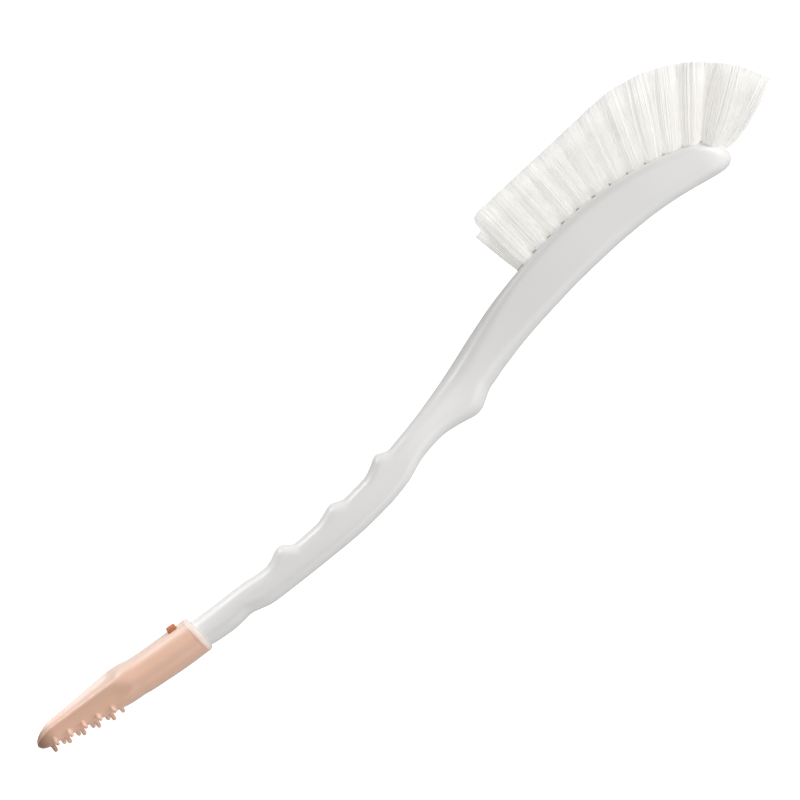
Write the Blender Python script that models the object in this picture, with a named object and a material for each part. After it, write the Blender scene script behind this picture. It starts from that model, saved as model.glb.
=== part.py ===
"""Bottle brush: a curved white handle with a drilled head at one end, three staggered rows of
nylon bristle tufts in the head, and a pink silicone teat cleaner pushed over the handle's tang.

The brush lies on its flank. X runs along it from the teat cleaner to the head, Y points to the
bristle side and Z runs across the handle. Outlines are drawn from the teat cleaner's mouth
(x = 0) and from the straight line between the brush's two ends (y = 0).
"""
import math

import bmesh
import bpy
from mathutils import Matrix, Vector

MM = 0.001

# Handle: lengths along X, the height its curve takes up along Y, and widths along Z
HANDLE_LENGTH = 223.4 * MM
HANDLE_SWAY = 28.6 * MM
MOUTH_WIDTH = 9.8 * MM
GRIP_WIDTH = 20 * MM
NECK_WIDTH = 13.5 * MM
HEAD_WIDTH = 20 * MM
NOSE_WIDTH = 17 * MM
NOSE_LENGTH = 9.6 * MM
MOUTH_ROUND = 4.5 * MM
GRIP_ROUND = 3.8 * MM
NECK_ROUND = 6.3 * MM
HEAD_FACE_ROUND = 3.2 * MM
HEAD_BACK_ROUND = 4.2 * MM
NOSE_ROUND = 5 * MM
RING_STEP = 5 * MM

# Finger crests on the bristle side, thumb bump on the back
FIRST_CREST = 36.1 * MM
CREST_PITCH = 20.75 * MM
CREST_HEIGHT = 3.3 * MM
CREST_RAMP = 7.7 * MM
CREST_FALL = 4.6 * MM
BUMP_PEAK = 110.9 * MM
BUMP_HEIGHT = 3.75 * MM
BUMP_RAMP = 14.4 * MM
BUMP_FALL = 9 * MM

# Tang, the spigot of the handle inside the teat cleaner
TANG_ANGLE = math.radians(8.6)
TANG_LENGTH = 34 * MM
TANG_COLLAR = 5.5 * MM
TANG_STEP = 1.2 * MM
TANG_HEIGHT = 7.2 * MM
TANG_WIDTH = 6.2 * MM
TANG_ROUND = 1.9 * MM
TANG_TIP_ROUND = 1.4 * MM
FIT_CLEARANCE = 0.3 * MM

# Teat cleaner
SLEEVE_LENGTH = 61.9 * MM
SLEEVE_RADIUS = 6.25 * MM
SLEEVE_RISE = 0.5 * MM
LIP_WIDTH = 1.9 * MM
LIP_PROUD = 0.1 * MM
NUB_RADIUS = 0.8 * MM
NUB_HEIGHT = 2.4 * MM
NUB_SUNK = 0.8 * MM
NUB_TIP_MARGIN = 4.1 * MM
NUB_PITCH = 5.15 * MM
NUB_SHIFT = 1.72 * MM
STUD_LENGTH = 3.1 * MM
STUD_WIDTH = 3.4 * MM
STUD_HEIGHT = 1.1 * MM
STUD_PLACE = 6.7 * MM
STUD_ANGLE = 75
STUD_EDGE = 0.35 * MM
STUD_SUNK = 0.7 * MM

# Bristle tufts
MIDDLE_TUFTS = 13
TUFT_PITCH = 6.25 * MM
ROW_SPACING = 4.9 * MM
NOSE_MARGIN = 2.4 * MM
ROOT_RADIUS = 1.4 * MM
ROOT_DEPTH = 4.6 * MM
ROOT_PROUD = 0.4 * MM
STRANDS = 10
STRAND_INSET = 0.17 * MM
BRISTLE_LENGTH = 21 * MM
TRIM_RADIUS = 50 * MM
TRIM_CENTRE_BACK = 21.3 * MM
HEEL_RADIUS = 4.5 * MM
HEEL_LEAD = 0.4 * MM
SPREAD_ALONG = 2.7 * MM
SPREAD_ACROSS = 2.5 * MM

OVERRUN = 2.5 * MM

# Handle edges: (share of HANDLE_LENGTH, share of HANDLE_SWAY)
FACE_EDGE_SHARES = (
    (0.000, -0.161), (0.034, -0.190), (0.090, -0.232), (0.117, -0.268), (0.173, -0.300),
    (0.257, -0.313), (0.327, -0.290), (0.369, -0.248), (0.425, -0.186), (0.481, -0.098),
    (0.509, -0.044), (0.565, 0.071), (0.621, 0.168), (0.683, 0.234), (0.733, 0.263),
    (0.775, 0.271), (0.845, 0.226), (0.901, 0.133), (0.929, 0.066), (0.957, -0.010),
    (1.000, -0.170))
BACK_EDGE_SHARES = (
    (0.000, -0.495), (0.020, -0.525), (0.048, -0.546), (0.070, -0.541), (0.087, -0.579),
    (0.103, -0.617), (0.145, -0.650), (0.201, -0.683), (0.271, -0.710), (0.313, -0.699),
    (0.355, -0.656), (0.397, -0.563), (0.425, -0.538), (0.530, -0.503), (0.565, -0.448),
    (0.621, -0.377), (0.677, -0.337), (0.733, -0.311), (0.789, -0.307), (0.845, -0.325),
    (0.887, -0.360), (0.957, -0.472), (1.000, -0.562))
NOSE_TIP_SHARE = -0.33
NOSE_POWER = 2.6
CREST_HEIGHT_SHARES = (1.0, 0.66, 0.86)
CREST_TIP_SHARE = 0.2
CREST_TIP_POWER = 8
CREST_RAMP_POWER = 1.5
CORNER_MOST_SHARE = 0.48

# Where along the handle each width and corner radius holds
WIDTH_SHARES = (0.0, 0.33, 0.37, 0.51, 0.775, 0.865, 1.0)
ROUND_SHARES = (0.0, 0.14, 0.36, 0.52, 0.68, 0.90, 1.0)

# Tuft lean from the X axis, in degrees, and tip spread, by share along a row
LEAN_SHARES = (
    (0.00, 95), (0.04, 93), (0.08, 91), (0.32, 88), (0.40, 83), (0.48, 76), (0.56, 71),
    (0.64, 66), (0.72, 59), (0.80, 52.5), (0.88, 47), (0.92, 41), (0.96, 32), (1.00, 20.5))
SPREAD_SHARES = ((0.00, 0.6), (0.08, 1.0), (0.34, 1.0), (0.45, 1.42), (0.85, 1.5), (1.00, 1.95))
STAGGER_SHARE = 0.5
STRAIGHT_STRAND_SHARE = 0.42
FOLD_SHARE = 0.4
TRIM_REACH = 1.6
TRIM_STEPS = 40

# Teat cleaner: (share of SLEEVE_LENGTH from the mouth, share of SLEEVE_RADIUS)
SLEEVE_SHARES = (
    (0.08, 1.00), (0.16, 1.01), (0.24, 1.00), (0.32, 0.99), (0.40, 1.00), (0.44, 1.015),
    (0.475, 1.02), (0.505, 1.00), (0.55, 0.945), (0.61, 0.875), (0.68, 0.785), (0.76, 0.685),
    (0.84, 0.61), (0.91, 0.535), (0.95, 0.445), (0.975, 0.33), (0.992, 0.19))
SLEEVE_LIFT_SHARES = (
    (0.00, 0.00), (0.10, -0.05), (0.18, -0.07), (0.30, -0.08), (0.36, -0.07), (0.42, -0.01),
    (0.50, 0.00), (0.65, 0.02), (0.88, 0.03), (0.95, -0.07), (1.00, -0.16))
FLUTE_START_SHARE = 0.42
FLUTE_FULL_SHARE = 0.54
FLUTE_SHARES = ((57, 0.24), (123, 0.24), (-8, 0.15), (188, 0.15))
FLUTE_HALF_ANGLE = 29
TANG_TAPER_SHARE = 0.86
NUB_ROW_ANGLES = (-82, -45, -119)
NUBS_PER_ROW = 5
NUB_TAPER_SHARE = 0.8

# Extra rings of the handle: on a crest's ramp and fall, and round the nose in degrees
RAMP_RING_SHARES = (1, 0.66, 0.4, 0.2, 0.07)
FALL_RING_SHARES = (0.1, 0.35, 0.7, 1)
CREST_CLEAR_SHARE = 0.15
NOSE_RING_ANGLES = (0, 16, 32, 46, 58, 68, 77, 84)

CORNER_POINTS = 5
FACE_ARC_STEPS = 600
SLEEVE_POINTS = 32
NUB_SIDES = 8

SIDE = Vector((0, 0, 1))
TANG_OUT = Vector((-math.cos(TANG_ANGLE), math.sin(TANG_ANGLE), 0))
TANG_UP = Vector((math.sin(TANG_ANGLE), math.cos(TANG_ANGLE), 0))


def smooth(points, place):
    """Height at a place on a monotone cubic curve through the points."""
    if place <= points[0][0]:
        return points[0][1]
    if place >= points[-1][0]:
        return points[-1][1]
    steps = [b[0] - a[0] for a, b in zip(points, points[1:])]
    slopes = [(b[1] - a[1]) / step for a, b, step in zip(points, points[1:], steps)]
    tangents = [slopes[0]]
    for before, after in zip(slopes, slopes[1:]):
        tangents.append(2 * before * after / (before + after) if before * after > 0 else 0)
    tangents.append(slopes[-1])
    i = max(k for k in range(len(steps)) if points[k][0] <= place)
    t = (place - points[i][0]) / steps[i]
    rise = points[i][1] * (1 + 2 * t) * (1 - t) ** 2 + points[i + 1][1] * t * t * (3 - 2 * t)
    return rise + steps[i] * t * (1 - t) * (tangents[i] * (1 - t) - tangents[i + 1] * t)


def crest(x, peak, height, ramp, fall):
    """A crest with a hollow ramp up to its peak and a short rounded fall behind it."""
    if peak - ramp < x <= peak:
        rise = (x - peak + ramp) / ramp
        tip = 1 - CREST_TIP_SHARE * rise ** CREST_TIP_POWER
        return height * tip * rise ** CREST_RAMP_POWER
    if peak < x < peak + fall:
        drop = (x - peak) / fall
        return height * (1 - CREST_TIP_SHARE) * (1 - drop * drop * (3 - 2 * drop))
    return 0


def nose_keep(x):
    """Share of its full section that the handle keeps at a place, past which the nose rounds."""
    past = min(1, max(0, x - HANDLE_LENGTH + NOSE_LENGTH) / NOSE_LENGTH)
    return (1 - past ** NOSE_POWER) ** (1 / NOSE_POWER)


def edge_height(points, x):
    """Height of an edge of the handle, drawn in round the nose."""
    tip = HANDLE_SWAY * NOSE_TIP_SHARE
    return tip + (HANDLE_SWAY * smooth(points, x / HANDLE_LENGTH) - tip) * nose_keep(x)


def face_edge(x, with_crests=True):
    y = edge_height(FACE_EDGE_SHARES, x)
    if with_crests:
        for number, share in enumerate(CREST_HEIGHT_SHARES):
            peak = FIRST_CREST + number * CREST_PITCH
            y += crest(x, peak, CREST_HEIGHT * share, CREST_RAMP, CREST_FALL)
    return y


def back_edge(x):
    return edge_height(BACK_EDGE_SHARES, x) - crest(x, BUMP_PEAK, BUMP_HEIGHT, BUMP_RAMP, BUMP_FALL)


def half_width(x):
    """Half the handle's width, drawn in round the nose."""
    widths = (MOUTH_WIDTH, GRIP_WIDTH, GRIP_WIDTH, NECK_WIDTH, HEAD_WIDTH, HEAD_WIDTH, NOSE_WIDTH)
    return smooth(tuple(zip(WIDTH_SHARES, widths)), x / HANDLE_LENGTH) / 2 * nose_keep(x)


def corner_radii(x):
    face = (MOUTH_ROUND, GRIP_ROUND, GRIP_ROUND, NECK_ROUND, HEAD_FACE_ROUND, HEAD_FACE_ROUND,
            NOSE_ROUND)
    back = (MOUTH_ROUND, GRIP_ROUND, GRIP_ROUND, NECK_ROUND, HEAD_BACK_ROUND, HEAD_BACK_ROUND,
            NOSE_ROUND)
    share = x / HANDLE_LENGTH
    most = CORNER_MOST_SHARE * min(face_edge(x) - back_edge(x), 2 * half_width(x))
    return [min(most, smooth(tuple(zip(ROUND_SHARES, radii)), share)) for radii in (face, back)]


def rounded_ring(middle, up, half, above, below, face_round, back_round):
    """A rounded rectangle across the handle: half wide each way, above and below its middle."""
    corners = (
        (half - face_round, above - face_round, face_round, 90),
        (half - back_round, back_round - below, back_round, 0),
        (back_round - half, back_round - below, back_round, -90),
        (face_round - half, above - face_round, face_round, -180))
    ring = []
    for side, height, radius, start in corners:
        for step in range(CORNER_POINTS):
            angle = math.radians(start - 90 * step / (CORNER_POINTS - 1))
            ring.append(middle + SIDE * (side + radius * math.cos(angle))
                        + up * (height + radius * math.sin(angle)))
    return ring


def handle_ring(x):
    top, bottom = face_edge(x), back_edge(x)
    middle = Vector((x, (top + bottom) / 2, 0))
    depth = (top - bottom) / 2
    return rounded_ring(middle, Vector((0, 1, 0)), half_width(x), depth, depth, *corner_radii(x))


def handle_places():
    """Places of the handle's rings: an even pitch, the crests' and bump's feet, the nose."""
    count = round(HANDLE_LENGTH / RING_STEP)
    nose_start = HANDLE_LENGTH - NOSE_LENGTH
    places = {HANDLE_LENGTH * k / count for k in range(count + 1)}
    shapes = [(FIRST_CREST + k * CREST_PITCH, CREST_RAMP, CREST_FALL)
              for k in range(len(CREST_HEIGHT_SHARES))]
    shapes.append((BUMP_PEAK, BUMP_RAMP, BUMP_FALL))
    for peak, ramp, fall in shapes:
        before, after = ramp * (1 + CREST_CLEAR_SHARE), fall * (1 + CREST_CLEAR_SHARE)
        places = {x for x in places if not peak - before < x < peak + after}
        places |= {peak - ramp * share for share in RAMP_RING_SHARES}
        places |= {peak + fall * share for share in FALL_RING_SHARES}
    places = {x for x in places if x < nose_start}
    places |= {nose_start + NOSE_LENGTH * math.sin(math.radians(angle))
               for angle in NOSE_RING_ANGLES}
    return sorted(places)


def tang_ring(out, height, width, radius, grow=0):
    """A section of the tang, or of the teat cleaner's bore when grown by the clearance."""
    middle = mouth_middle() + TANG_OUT * out
    half, deep = width / 2 + grow, height / 2 + grow
    return rounded_ring(middle, TANG_UP, half, deep, deep, radius + grow, radius + grow)


def tang_sections():
    """Tang sections from the mouth to the tip: distance, height, width, corner radius."""
    mouth_height = face_edge(0) - back_edge(0)
    tip = TANG_TAPER_SHARE
    end = TANG_LENGTH - TANG_TIP_ROUND
    return (
        (TANG_COLLAR, mouth_height, MOUTH_WIDTH, MOUTH_ROUND),
        (TANG_COLLAR + TANG_STEP, TANG_HEIGHT, TANG_WIDTH, TANG_ROUND),
        (end, TANG_HEIGHT * tip, TANG_WIDTH * tip, TANG_ROUND * tip),
        (TANG_LENGTH, TANG_HEIGHT * tip - 2 * TANG_TIP_ROUND,
         TANG_WIDTH * tip - 2 * TANG_TIP_ROUND, TANG_ROUND * tip / 2))


def mouth_middle():
    return Vector((0, (face_edge(0) + back_edge(0)) / 2, 0))


def loft(name, rings, tip=None):
    """A closed solid through rings of equal count, flat at its ends or drawn to a tip point."""
    solid = bmesh.new()
    loops = [[solid.verts.new(point) for point in ring] for ring in rings]
    count = len(loops[0])
    for low, high in zip(loops, loops[1:]):
        for k in range(count):
            nxt = (k + 1) % count
            solid.faces.new((low[k], low[nxt], high[nxt], high[k]))
    solid.faces.new(loops[0])
    if tip is None:
        solid.faces.new(loops[-1])
    else:
        point = solid.verts.new(tip)
        for k in range(count):
            solid.faces.new((loops[-1][k], loops[-1][(k + 1) % count], point))
    bmesh.ops.recalc_face_normals(solid, faces=solid.faces)
    return as_object(name, solid)


def as_object(name, solid):
    mesh = bpy.data.meshes.new(name)
    solid.to_mesh(mesh)
    solid.free()
    made = bpy.data.objects.new(name, mesh)
    bpy.context.scene.collection.objects.link(made)
    return made


def finish(made, material, parts, frame):
    """Puts a finished piece in the brush's collection, under the brush's own frame."""
    made.data.materials.clear()
    made.data.materials.append(material)
    made.data.shade_smooth()
    made.data.set_sharp_from_angle(angle=math.radians(35))
    bpy.context.scene.collection.objects.unlink(made)
    parts.objects.link(made)
    made.parent = frame


def use_cutter(made, cutter, cutters, frame, operation):
    cut = made.modifiers.new(cutter.name, 'BOOLEAN')
    cut.operation = operation
    cut.solver = 'EXACT'
    cut.object = cutter
    bpy.context.scene.collection.objects.unlink(cutter)
    cutters.objects.link(cutter)
    cutter.hide_render = True
    cutter.display_type = 'WIRE'
    cutter.parent = frame


def plastic(name, colour, roughness):
    material = bpy.data.materials.new(name)
    material.use_nodes = True
    shader = material.node_tree.nodes['Principled BSDF']
    shader.inputs['Base Color'].default_value = (*colour, 1)
    shader.inputs['Roughness'].default_value = roughness
    shader.inputs['Metallic'].default_value = 0
    return material


def face_arc():
    """The head's bristle face as (distance back from the nose, x, y), nose first."""
    arc = [(0, HANDLE_LENGTH, face_edge(HANDLE_LENGTH, False))]
    for k in range(1, FACE_ARC_STEPS + 1):
        x = HANDLE_LENGTH * (1 - k / FACE_ARC_STEPS)
        y = face_edge(x, False)
        gone, last_x, last_y = arc[-1]
        arc.append((gone + math.hypot(x - last_x, y - last_y), x, y))
    return arc


def face_point(arc, back):
    """The point at a distance back from the nose, and the direction square to the face there."""
    for (near, x0, y0), (far, x1, y1) in zip(arc, arc[1:]):
        if far >= back:
            t = (back - near) / (far - near)
            along = Vector((x0 - x1, y0 - y1, 0)).normalized()
            place = Vector((x0 + (x1 - x0) * t, y0 + (y1 - y0) * t, 0))
            return place, Vector((-along.y, along.x, 0))


def tuft_seats():
    """Every tuft as a name, its root, its hole's axis, its lean and its two spreads."""
    arc = face_arc()
    row_length = (MIDDLE_TUFTS - 1) * TUFT_PITCH
    rows = (('upper', ROW_SPACING, STAGGER_SHARE, MIDDLE_TUFTS - 1), ('middle', 0, 0, MIDDLE_TUFTS),
            ('lower', -ROW_SPACING, STAGGER_SHARE, MIDDLE_TUFTS - 1))
    seats = []
    for row, side, stagger, tufts in rows:
        for number in range(tufts):
            along = (number + stagger) * TUFT_PITCH
            share = along / row_length
            root, square = face_point(arc, NOSE_MARGIN + row_length - along)
            angle = math.radians(smooth(LEAN_SHARES, share))
            lean = Vector((math.cos(angle), math.sin(angle), 0))
            hole = (lean + square).normalized()
            spreads = (SPREAD_ALONG * smooth(SPREAD_SHARES, share), SPREAD_ACROSS)
            name = f'tuft_{row}_{number + 1:02d}'
            seats.append((name, root + SIDE * side, hole, lean, spreads))
    return seats


def seat_matrix(root, hole):
    """A frame at a tuft's root: Z along the hole, X along the row, Y across the head."""
    along = hole.cross(SIDE)
    turn = Matrix((along, -SIDE, hole)).transposed()
    return Matrix.Translation(root) @ turn.to_4x4()


def trim_overshoot(point, plane, heel):
    """How far a point lies past the bristles' trimmed surface, negative inside it."""
    nose = HANDLE_LENGTH - TRIM_CENTRE_BACK
    if point.x > nose:
        return math.hypot(point.x - nose, point.y - plane + TRIM_RADIUS) - TRIM_RADIUS
    if point.x < heel and point.y > plane - HEEL_RADIUS:
        return math.hypot(point.x - heel, point.y - plane + HEEL_RADIUS) - HEEL_RADIUS
    return point.y - plane


def trimmed(start, aim, plane, heel):
    """The point where the line from start towards aim meets the trimmed surface."""
    near, far = start, start + (aim - start) * TRIM_REACH
    for _ in range(TRIM_STEPS):
        middle = (near + far) / 2
        if trim_overshoot(middle, plane, heel) > 0:
            far = middle
        else:
            near = middle
    return middle


def make_tuft(seat, plane, heel):
    """A bundle folded over its staple at the bottom of the hole, its strands fanned above it."""
    name, root, hole, lean, (spread_along, spread_across) = seat
    tuft = bmesh.new()
    length = ROOT_DEPTH + ROOT_PROUD
    bmesh.ops.create_cone(tuft, cap_ends=True, cap_tris=True, segments=STRANDS,
                          radius1=ROOT_RADIUS, radius2=ROOT_RADIUS, depth=length)
    for vert in tuft.verts:
        if vert.co.z < 0:
            vert.co.y *= FOLD_SHARE
        vert.co.z += length / 2 - ROOT_DEPTH
    tops = [face for face in tuft.faces if face.normal.z > 0.9]
    bmesh.ops.inset_individual(tuft, faces=tops, thickness=STRAND_INSET, use_even_offset=True)
    tips = bmesh.ops.extrude_discrete_faces(tuft, faces=tops)['faces']
    angles = [math.atan2(face.calc_center_median().y, face.calc_center_median().x)
              for face in tips]
    tuft.transform(seat_matrix(root, hole))
    row_way = lean.cross(SIDE)
    middle = trimmed(root, root + lean * 2 * BRISTLE_LENGTH, plane, heel)
    order = sorted(range(len(tips)), key=lambda k: angles[k])
    for place, k in enumerate(order):
        share = STRAIGHT_STRAND_SHARE if place % 2 else 1
        fan = row_way * math.cos(angles[k]) * spread_along
        fan -= SIDE * math.sin(angles[k]) * spread_across
        start = tips[k].calc_center_median()
        end = trimmed(start, middle + fan * share, plane, heel)
        bmesh.ops.translate(tuft, verts=tips[k].verts, vec=end - start)
    bmesh.ops.recalc_face_normals(tuft, faces=tuft.faces)
    return as_object(name, tuft)


def make_hole_cutter(seats):
    cutter = bmesh.new()
    radius = ROOT_RADIUS + FIT_CLEARANCE / math.cos(math.pi / STRANDS)
    depth = ROOT_DEPTH + FIT_CLEARANCE
    for _, root, hole, _, _ in seats:
        middle = Matrix.Translation((0, 0, (OVERRUN - depth) / 2))
        bmesh.ops.create_cone(cutter, cap_ends=True, segments=STRANDS, radius1=radius,
                              radius2=radius, depth=depth + OVERRUN,
                              matrix=seat_matrix(root, hole) @ middle)
    return as_object('tuft_holes', cutter)


def make_handle():
    sections = tang_sections()
    rings = [tang_ring(*section) for section in reversed(sections)]
    rings += [handle_ring(x) for x in handle_places()]
    return loft('handle', rings)


def flute_depth(angle, share):
    """How far the flutes draw the sleeve's skin in at an angle, as a share of its radius."""
    fade = (share - FLUTE_START_SHARE) / (FLUTE_FULL_SHARE - FLUTE_START_SHARE)
    fade = min(1, max(0, fade))
    depth = 0
    for middle, deep in FLUTE_SHARES:
        off = ((angle - middle + 180) % 360 - 180) / FLUTE_HALF_ANGLE
        depth += deep * max(0, 1 - off * off)
    return depth * fade * fade * (3 - 2 * fade)


def sleeve_middle():
    return mouth_middle() + Vector((0, SLEEVE_RISE, 0))


def sleeve_point(out, radius, angle):
    """A point of the sleeve, whose middle line bends a little as soft silicone does."""
    turn = math.radians(angle)
    lift = SLEEVE_RADIUS * smooth(SLEEVE_LIFT_SHARES, out / SLEEVE_LENGTH)
    return (sleeve_middle() + TANG_OUT * out + TANG_UP * (lift + radius * math.sin(turn))
            + SIDE * radius * math.cos(turn))


def sleeve_ring(share, radius_share):
    ring = []
    for k in range(SLEEVE_POINTS):
        angle = 360 * k / SLEEVE_POINTS
        radius = SLEEVE_RADIUS * radius_share * (1 - flute_depth(angle, share))
        ring.append(sleeve_point(SLEEVE_LENGTH * share, radius, angle))
    return ring


def mouth_ring(back, radius):
    """A ring of the sleeve square to X, a distance back from its mouth."""
    ring = []
    for k in range(SLEEVE_POINTS):
        point = sleeve_point(0, radius, 360 * k / SLEEVE_POINTS)
        ring.append(point + TANG_OUT * (point.x + back) / math.cos(TANG_ANGLE))
    return ring


def make_nubs():
    """Three staggered rows of soft pegs under the teat cleaner, sunk into its skin."""
    nubs = bmesh.new()
    for row, angle in enumerate(NUB_ROW_ANGLES):
        turn = math.radians(angle)
        up = TANG_UP * math.sin(turn) + SIDE * math.cos(turn)
        across = TANG_OUT.cross(up)
        spin = Matrix((across, TANG_OUT, up)).transposed().to_4x4()
        for number in range(NUBS_PER_ROW):
            out = SLEEVE_LENGTH - NUB_TIP_MARGIN - row * NUB_SHIFT - number * NUB_PITCH
            skin = SLEEVE_RADIUS * smooth(SLEEVE_SHARES, out / SLEEVE_LENGTH)
            middle = sleeve_point(out, skin + (NUB_HEIGHT - NUB_SUNK) / 2, angle)
            bmesh.ops.create_cone(nubs, cap_ends=True, segments=NUB_SIDES, radius1=NUB_RADIUS,
                                  radius2=NUB_RADIUS * NUB_TAPER_SHARE, depth=NUB_HEIGHT + NUB_SUNK,
                                  matrix=Matrix.Translation(middle) @ spin)
    return as_object('nubs', nubs)


def make_stud():
    stud = bmesh.new()
    foot = SLEEVE_RADIUS - STUD_SUNK
    height = SLEEVE_RADIUS + STUD_HEIGHT - foot
    middle = sleeve_point(STUD_PLACE, foot + height / 2, STUD_ANGLE)
    bmesh.ops.create_cube(stud, size=1)
    bmesh.ops.scale(stud, vec=(STUD_LENGTH, height, STUD_WIDTH), verts=stud.verts)
    bmesh.ops.bevel(stud, geom=stud.edges[:], offset=STUD_EDGE, segments=1, affect='EDGES')
    turn = math.radians(STUD_ANGLE)
    up = TANG_UP * math.sin(turn) + SIDE * math.cos(turn)
    spin = Matrix((-TANG_OUT, up, up.cross(TANG_OUT))).transposed().to_4x4()
    stud.transform(Matrix.Translation(middle) @ spin)
    return as_object('stud', stud)


def make_bore_cutter():
    """The tang's own sections, grown by the clearance, and run out past the sleeve's mouth."""
    sections = tang_sections()
    collar = sections[0]
    rings = [tang_ring(-OVERRUN, *collar[1:], FIT_CLEARANCE)]
    for out, height, width, radius in sections:
        rings.append(tang_ring(out + FIT_CLEARANCE, height, width, radius, FIT_CLEARANCE))
    return loft('bore', rings)


def make_teat_cleaner():
    lip_radius = SLEEVE_RADIUS + LIP_PROUD
    rings = [mouth_ring(0, lip_radius), mouth_ring(LIP_WIDTH, lip_radius),
             mouth_ring(LIP_WIDTH + LIP_PROUD, SLEEVE_RADIUS)]
    rings += [sleeve_ring(*shares) for shares in SLEEVE_SHARES]
    return loft('teat_cleaner', rings, tip=sleeve_point(SLEEVE_LENGTH, 0, 0))


def set_on_its_flank(frame, pieces):
    """Moves the brush so that the middle of its underside is the origin."""
    bpy.context.view_layer.update()
    depsgraph = bpy.context.evaluated_depsgraph_get()
    corners = []
    for piece in pieces:
        shown = piece.evaluated_get(depsgraph)
        corners += [shown.matrix_world @ vert.co for vert in shown.data.vertices]
    low = Vector([min(corner[k] for corner in corners) for k in range(3)])
    high = Vector([max(corner[k] for corner in corners) for k in range(3)])
    frame.location = -Vector(((low.x + high.x) / 2, (low.y + high.y) / 2, low.z))


def build():
    for old in list(bpy.data.objects):
        bpy.data.objects.remove(old)
    parts = bpy.data.collections.new('bottle_brush')
    cutters = bpy.data.collections.new('cutters')
    bpy.context.scene.collection.children.link(parts)
    bpy.context.scene.collection.children.link(cutters)
    frame = bpy.data.objects.new('brush_frame', None)
    parts.objects.link(frame)
    white = plastic('white_moulding', (0.86, 0.86, 0.85), 0.35)
    nylon = plastic('nylon_bristle', (0.82, 0.80, 0.74), 0.5)
    silicone = plastic('pink_silicone', (0.69, 0.43, 0.34), 0.4)

    seats = tuft_seats()
    handle = make_handle()
    use_cutter(handle, make_hole_cutter(seats), cutters, frame, 'DIFFERENCE')
    finish(handle, white, parts, frame)

    teat_cleaner = make_teat_cleaner()
    use_cutter(teat_cleaner, make_nubs(), cutters, frame, 'UNION')
    use_cutter(teat_cleaner, make_stud(), cutters, frame, 'UNION')
    use_cutter(teat_cleaner, make_bore_cutter(), cutters, frame, 'DIFFERENCE')
    finish(teat_cleaner, silicone, parts, frame)

    plane = max(root.y for _, root, _, _, _ in seats) + BRISTLE_LENGTH
    heel = min(root.x for _, root, _, _, _ in seats) + HEEL_LEAD
    tufts = [make_tuft(seat, plane, heel) for seat in seats]
    for tuft in tufts:
        finish(tuft, nylon, parts, frame)
    set_on_its_flank(frame, [handle, teat_cleaner] + tufts)


build()
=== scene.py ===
import math

import bmesh
import bpy
from mathutils import Matrix, Vector


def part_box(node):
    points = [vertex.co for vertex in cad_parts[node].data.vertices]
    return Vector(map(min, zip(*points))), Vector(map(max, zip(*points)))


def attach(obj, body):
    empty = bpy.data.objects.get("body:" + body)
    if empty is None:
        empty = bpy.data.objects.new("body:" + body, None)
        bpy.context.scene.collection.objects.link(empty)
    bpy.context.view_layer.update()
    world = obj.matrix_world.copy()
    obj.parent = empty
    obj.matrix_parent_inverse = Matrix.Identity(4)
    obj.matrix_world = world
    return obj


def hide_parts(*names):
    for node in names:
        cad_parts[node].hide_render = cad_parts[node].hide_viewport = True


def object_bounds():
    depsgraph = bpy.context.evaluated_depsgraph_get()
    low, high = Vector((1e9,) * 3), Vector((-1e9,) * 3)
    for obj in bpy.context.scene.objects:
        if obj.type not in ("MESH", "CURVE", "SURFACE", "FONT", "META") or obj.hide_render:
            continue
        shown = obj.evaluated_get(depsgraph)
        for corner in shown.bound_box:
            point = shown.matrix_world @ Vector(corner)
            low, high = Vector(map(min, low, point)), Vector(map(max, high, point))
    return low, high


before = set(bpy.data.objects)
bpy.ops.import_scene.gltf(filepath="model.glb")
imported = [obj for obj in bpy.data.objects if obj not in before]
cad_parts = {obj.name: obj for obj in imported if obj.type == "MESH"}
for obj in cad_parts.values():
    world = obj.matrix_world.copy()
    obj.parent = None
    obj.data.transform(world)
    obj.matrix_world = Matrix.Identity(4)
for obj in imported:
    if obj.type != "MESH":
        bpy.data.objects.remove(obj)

cad_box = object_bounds()

# Camera
# The photograph looks straight down on the brush's flank, with the brush lying from the lower
# left to the upper right. A long lens from far off keeps both flanks at nearly the same size.
MM = 0.001
LENS = 400
SENSOR_WIDTH = 36
VIEW_WIDTH = 250 * MM
VIEW_TURN = math.radians(-42.85)
VIEW_MIDDLE = Vector((1.52, -2.38, 10)) * MM
LIGHT_BOUNCES = 12

camera = bpy.data.objects.new('camera', bpy.data.cameras.new('camera'))
bpy.context.scene.collection.objects.link(camera)
camera.data.lens = LENS
camera.data.sensor_width = SENSOR_WIDTH
camera.location = VIEW_MIDDLE + Vector((0, 0, VIEW_WIDTH * LENS / SENSOR_WIDTH))
camera.rotation_euler = (0, 0, VIEW_TURN)
bpy.context.scene.camera = camera
bpy.context.scene.view_settings.view_transform = 'Standard'
bpy.context.scene.cycles.diffuse_bounces = LIGHT_BOUNCES

# Floor and studio light
# A paper-white sweep, three soft boxes and a dim white surround. The low box past the head makes
# the nose bright and leaves the neck's upper edge in shade. A narrow beam lifts the sleeve.
FLOOR_SIZE = 12
FLOOR_DROP = 0.2 * MM
FLOOR_GLOW = 1.0
PAPER_TONE = 0.58
SURROUND = 0.2
WHOLE_BRUSH = Vector()
SLEEVE_PLACE = Vector((-125, -12, 10)) * MM
# Name, angles round and above its aim in degrees, distance, width and height in metres,
# strength, spread of the beam in degrees, aim
SOFT_BOXES = (
    ('past_the_head', 12, 12, 1.7, 1.2, 0.5, 1.25, 180, WHOLE_BRUSH),
    ('overhead', 0, 78, 1.7, 1.5, 1.5, 0.79, 180, WHOLE_BRUSH),
    ('behind_the_back', -80, 36, 1.7, 1.5, 1.1, 0.95, 180, WHOLE_BRUSH),
    ('beside_the_sleeve', 96, 11, 0.45, 0.3, 0.12, 0.11, 40, SLEEVE_PLACE))
POWER_FOR_STRENGTH = 4

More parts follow.
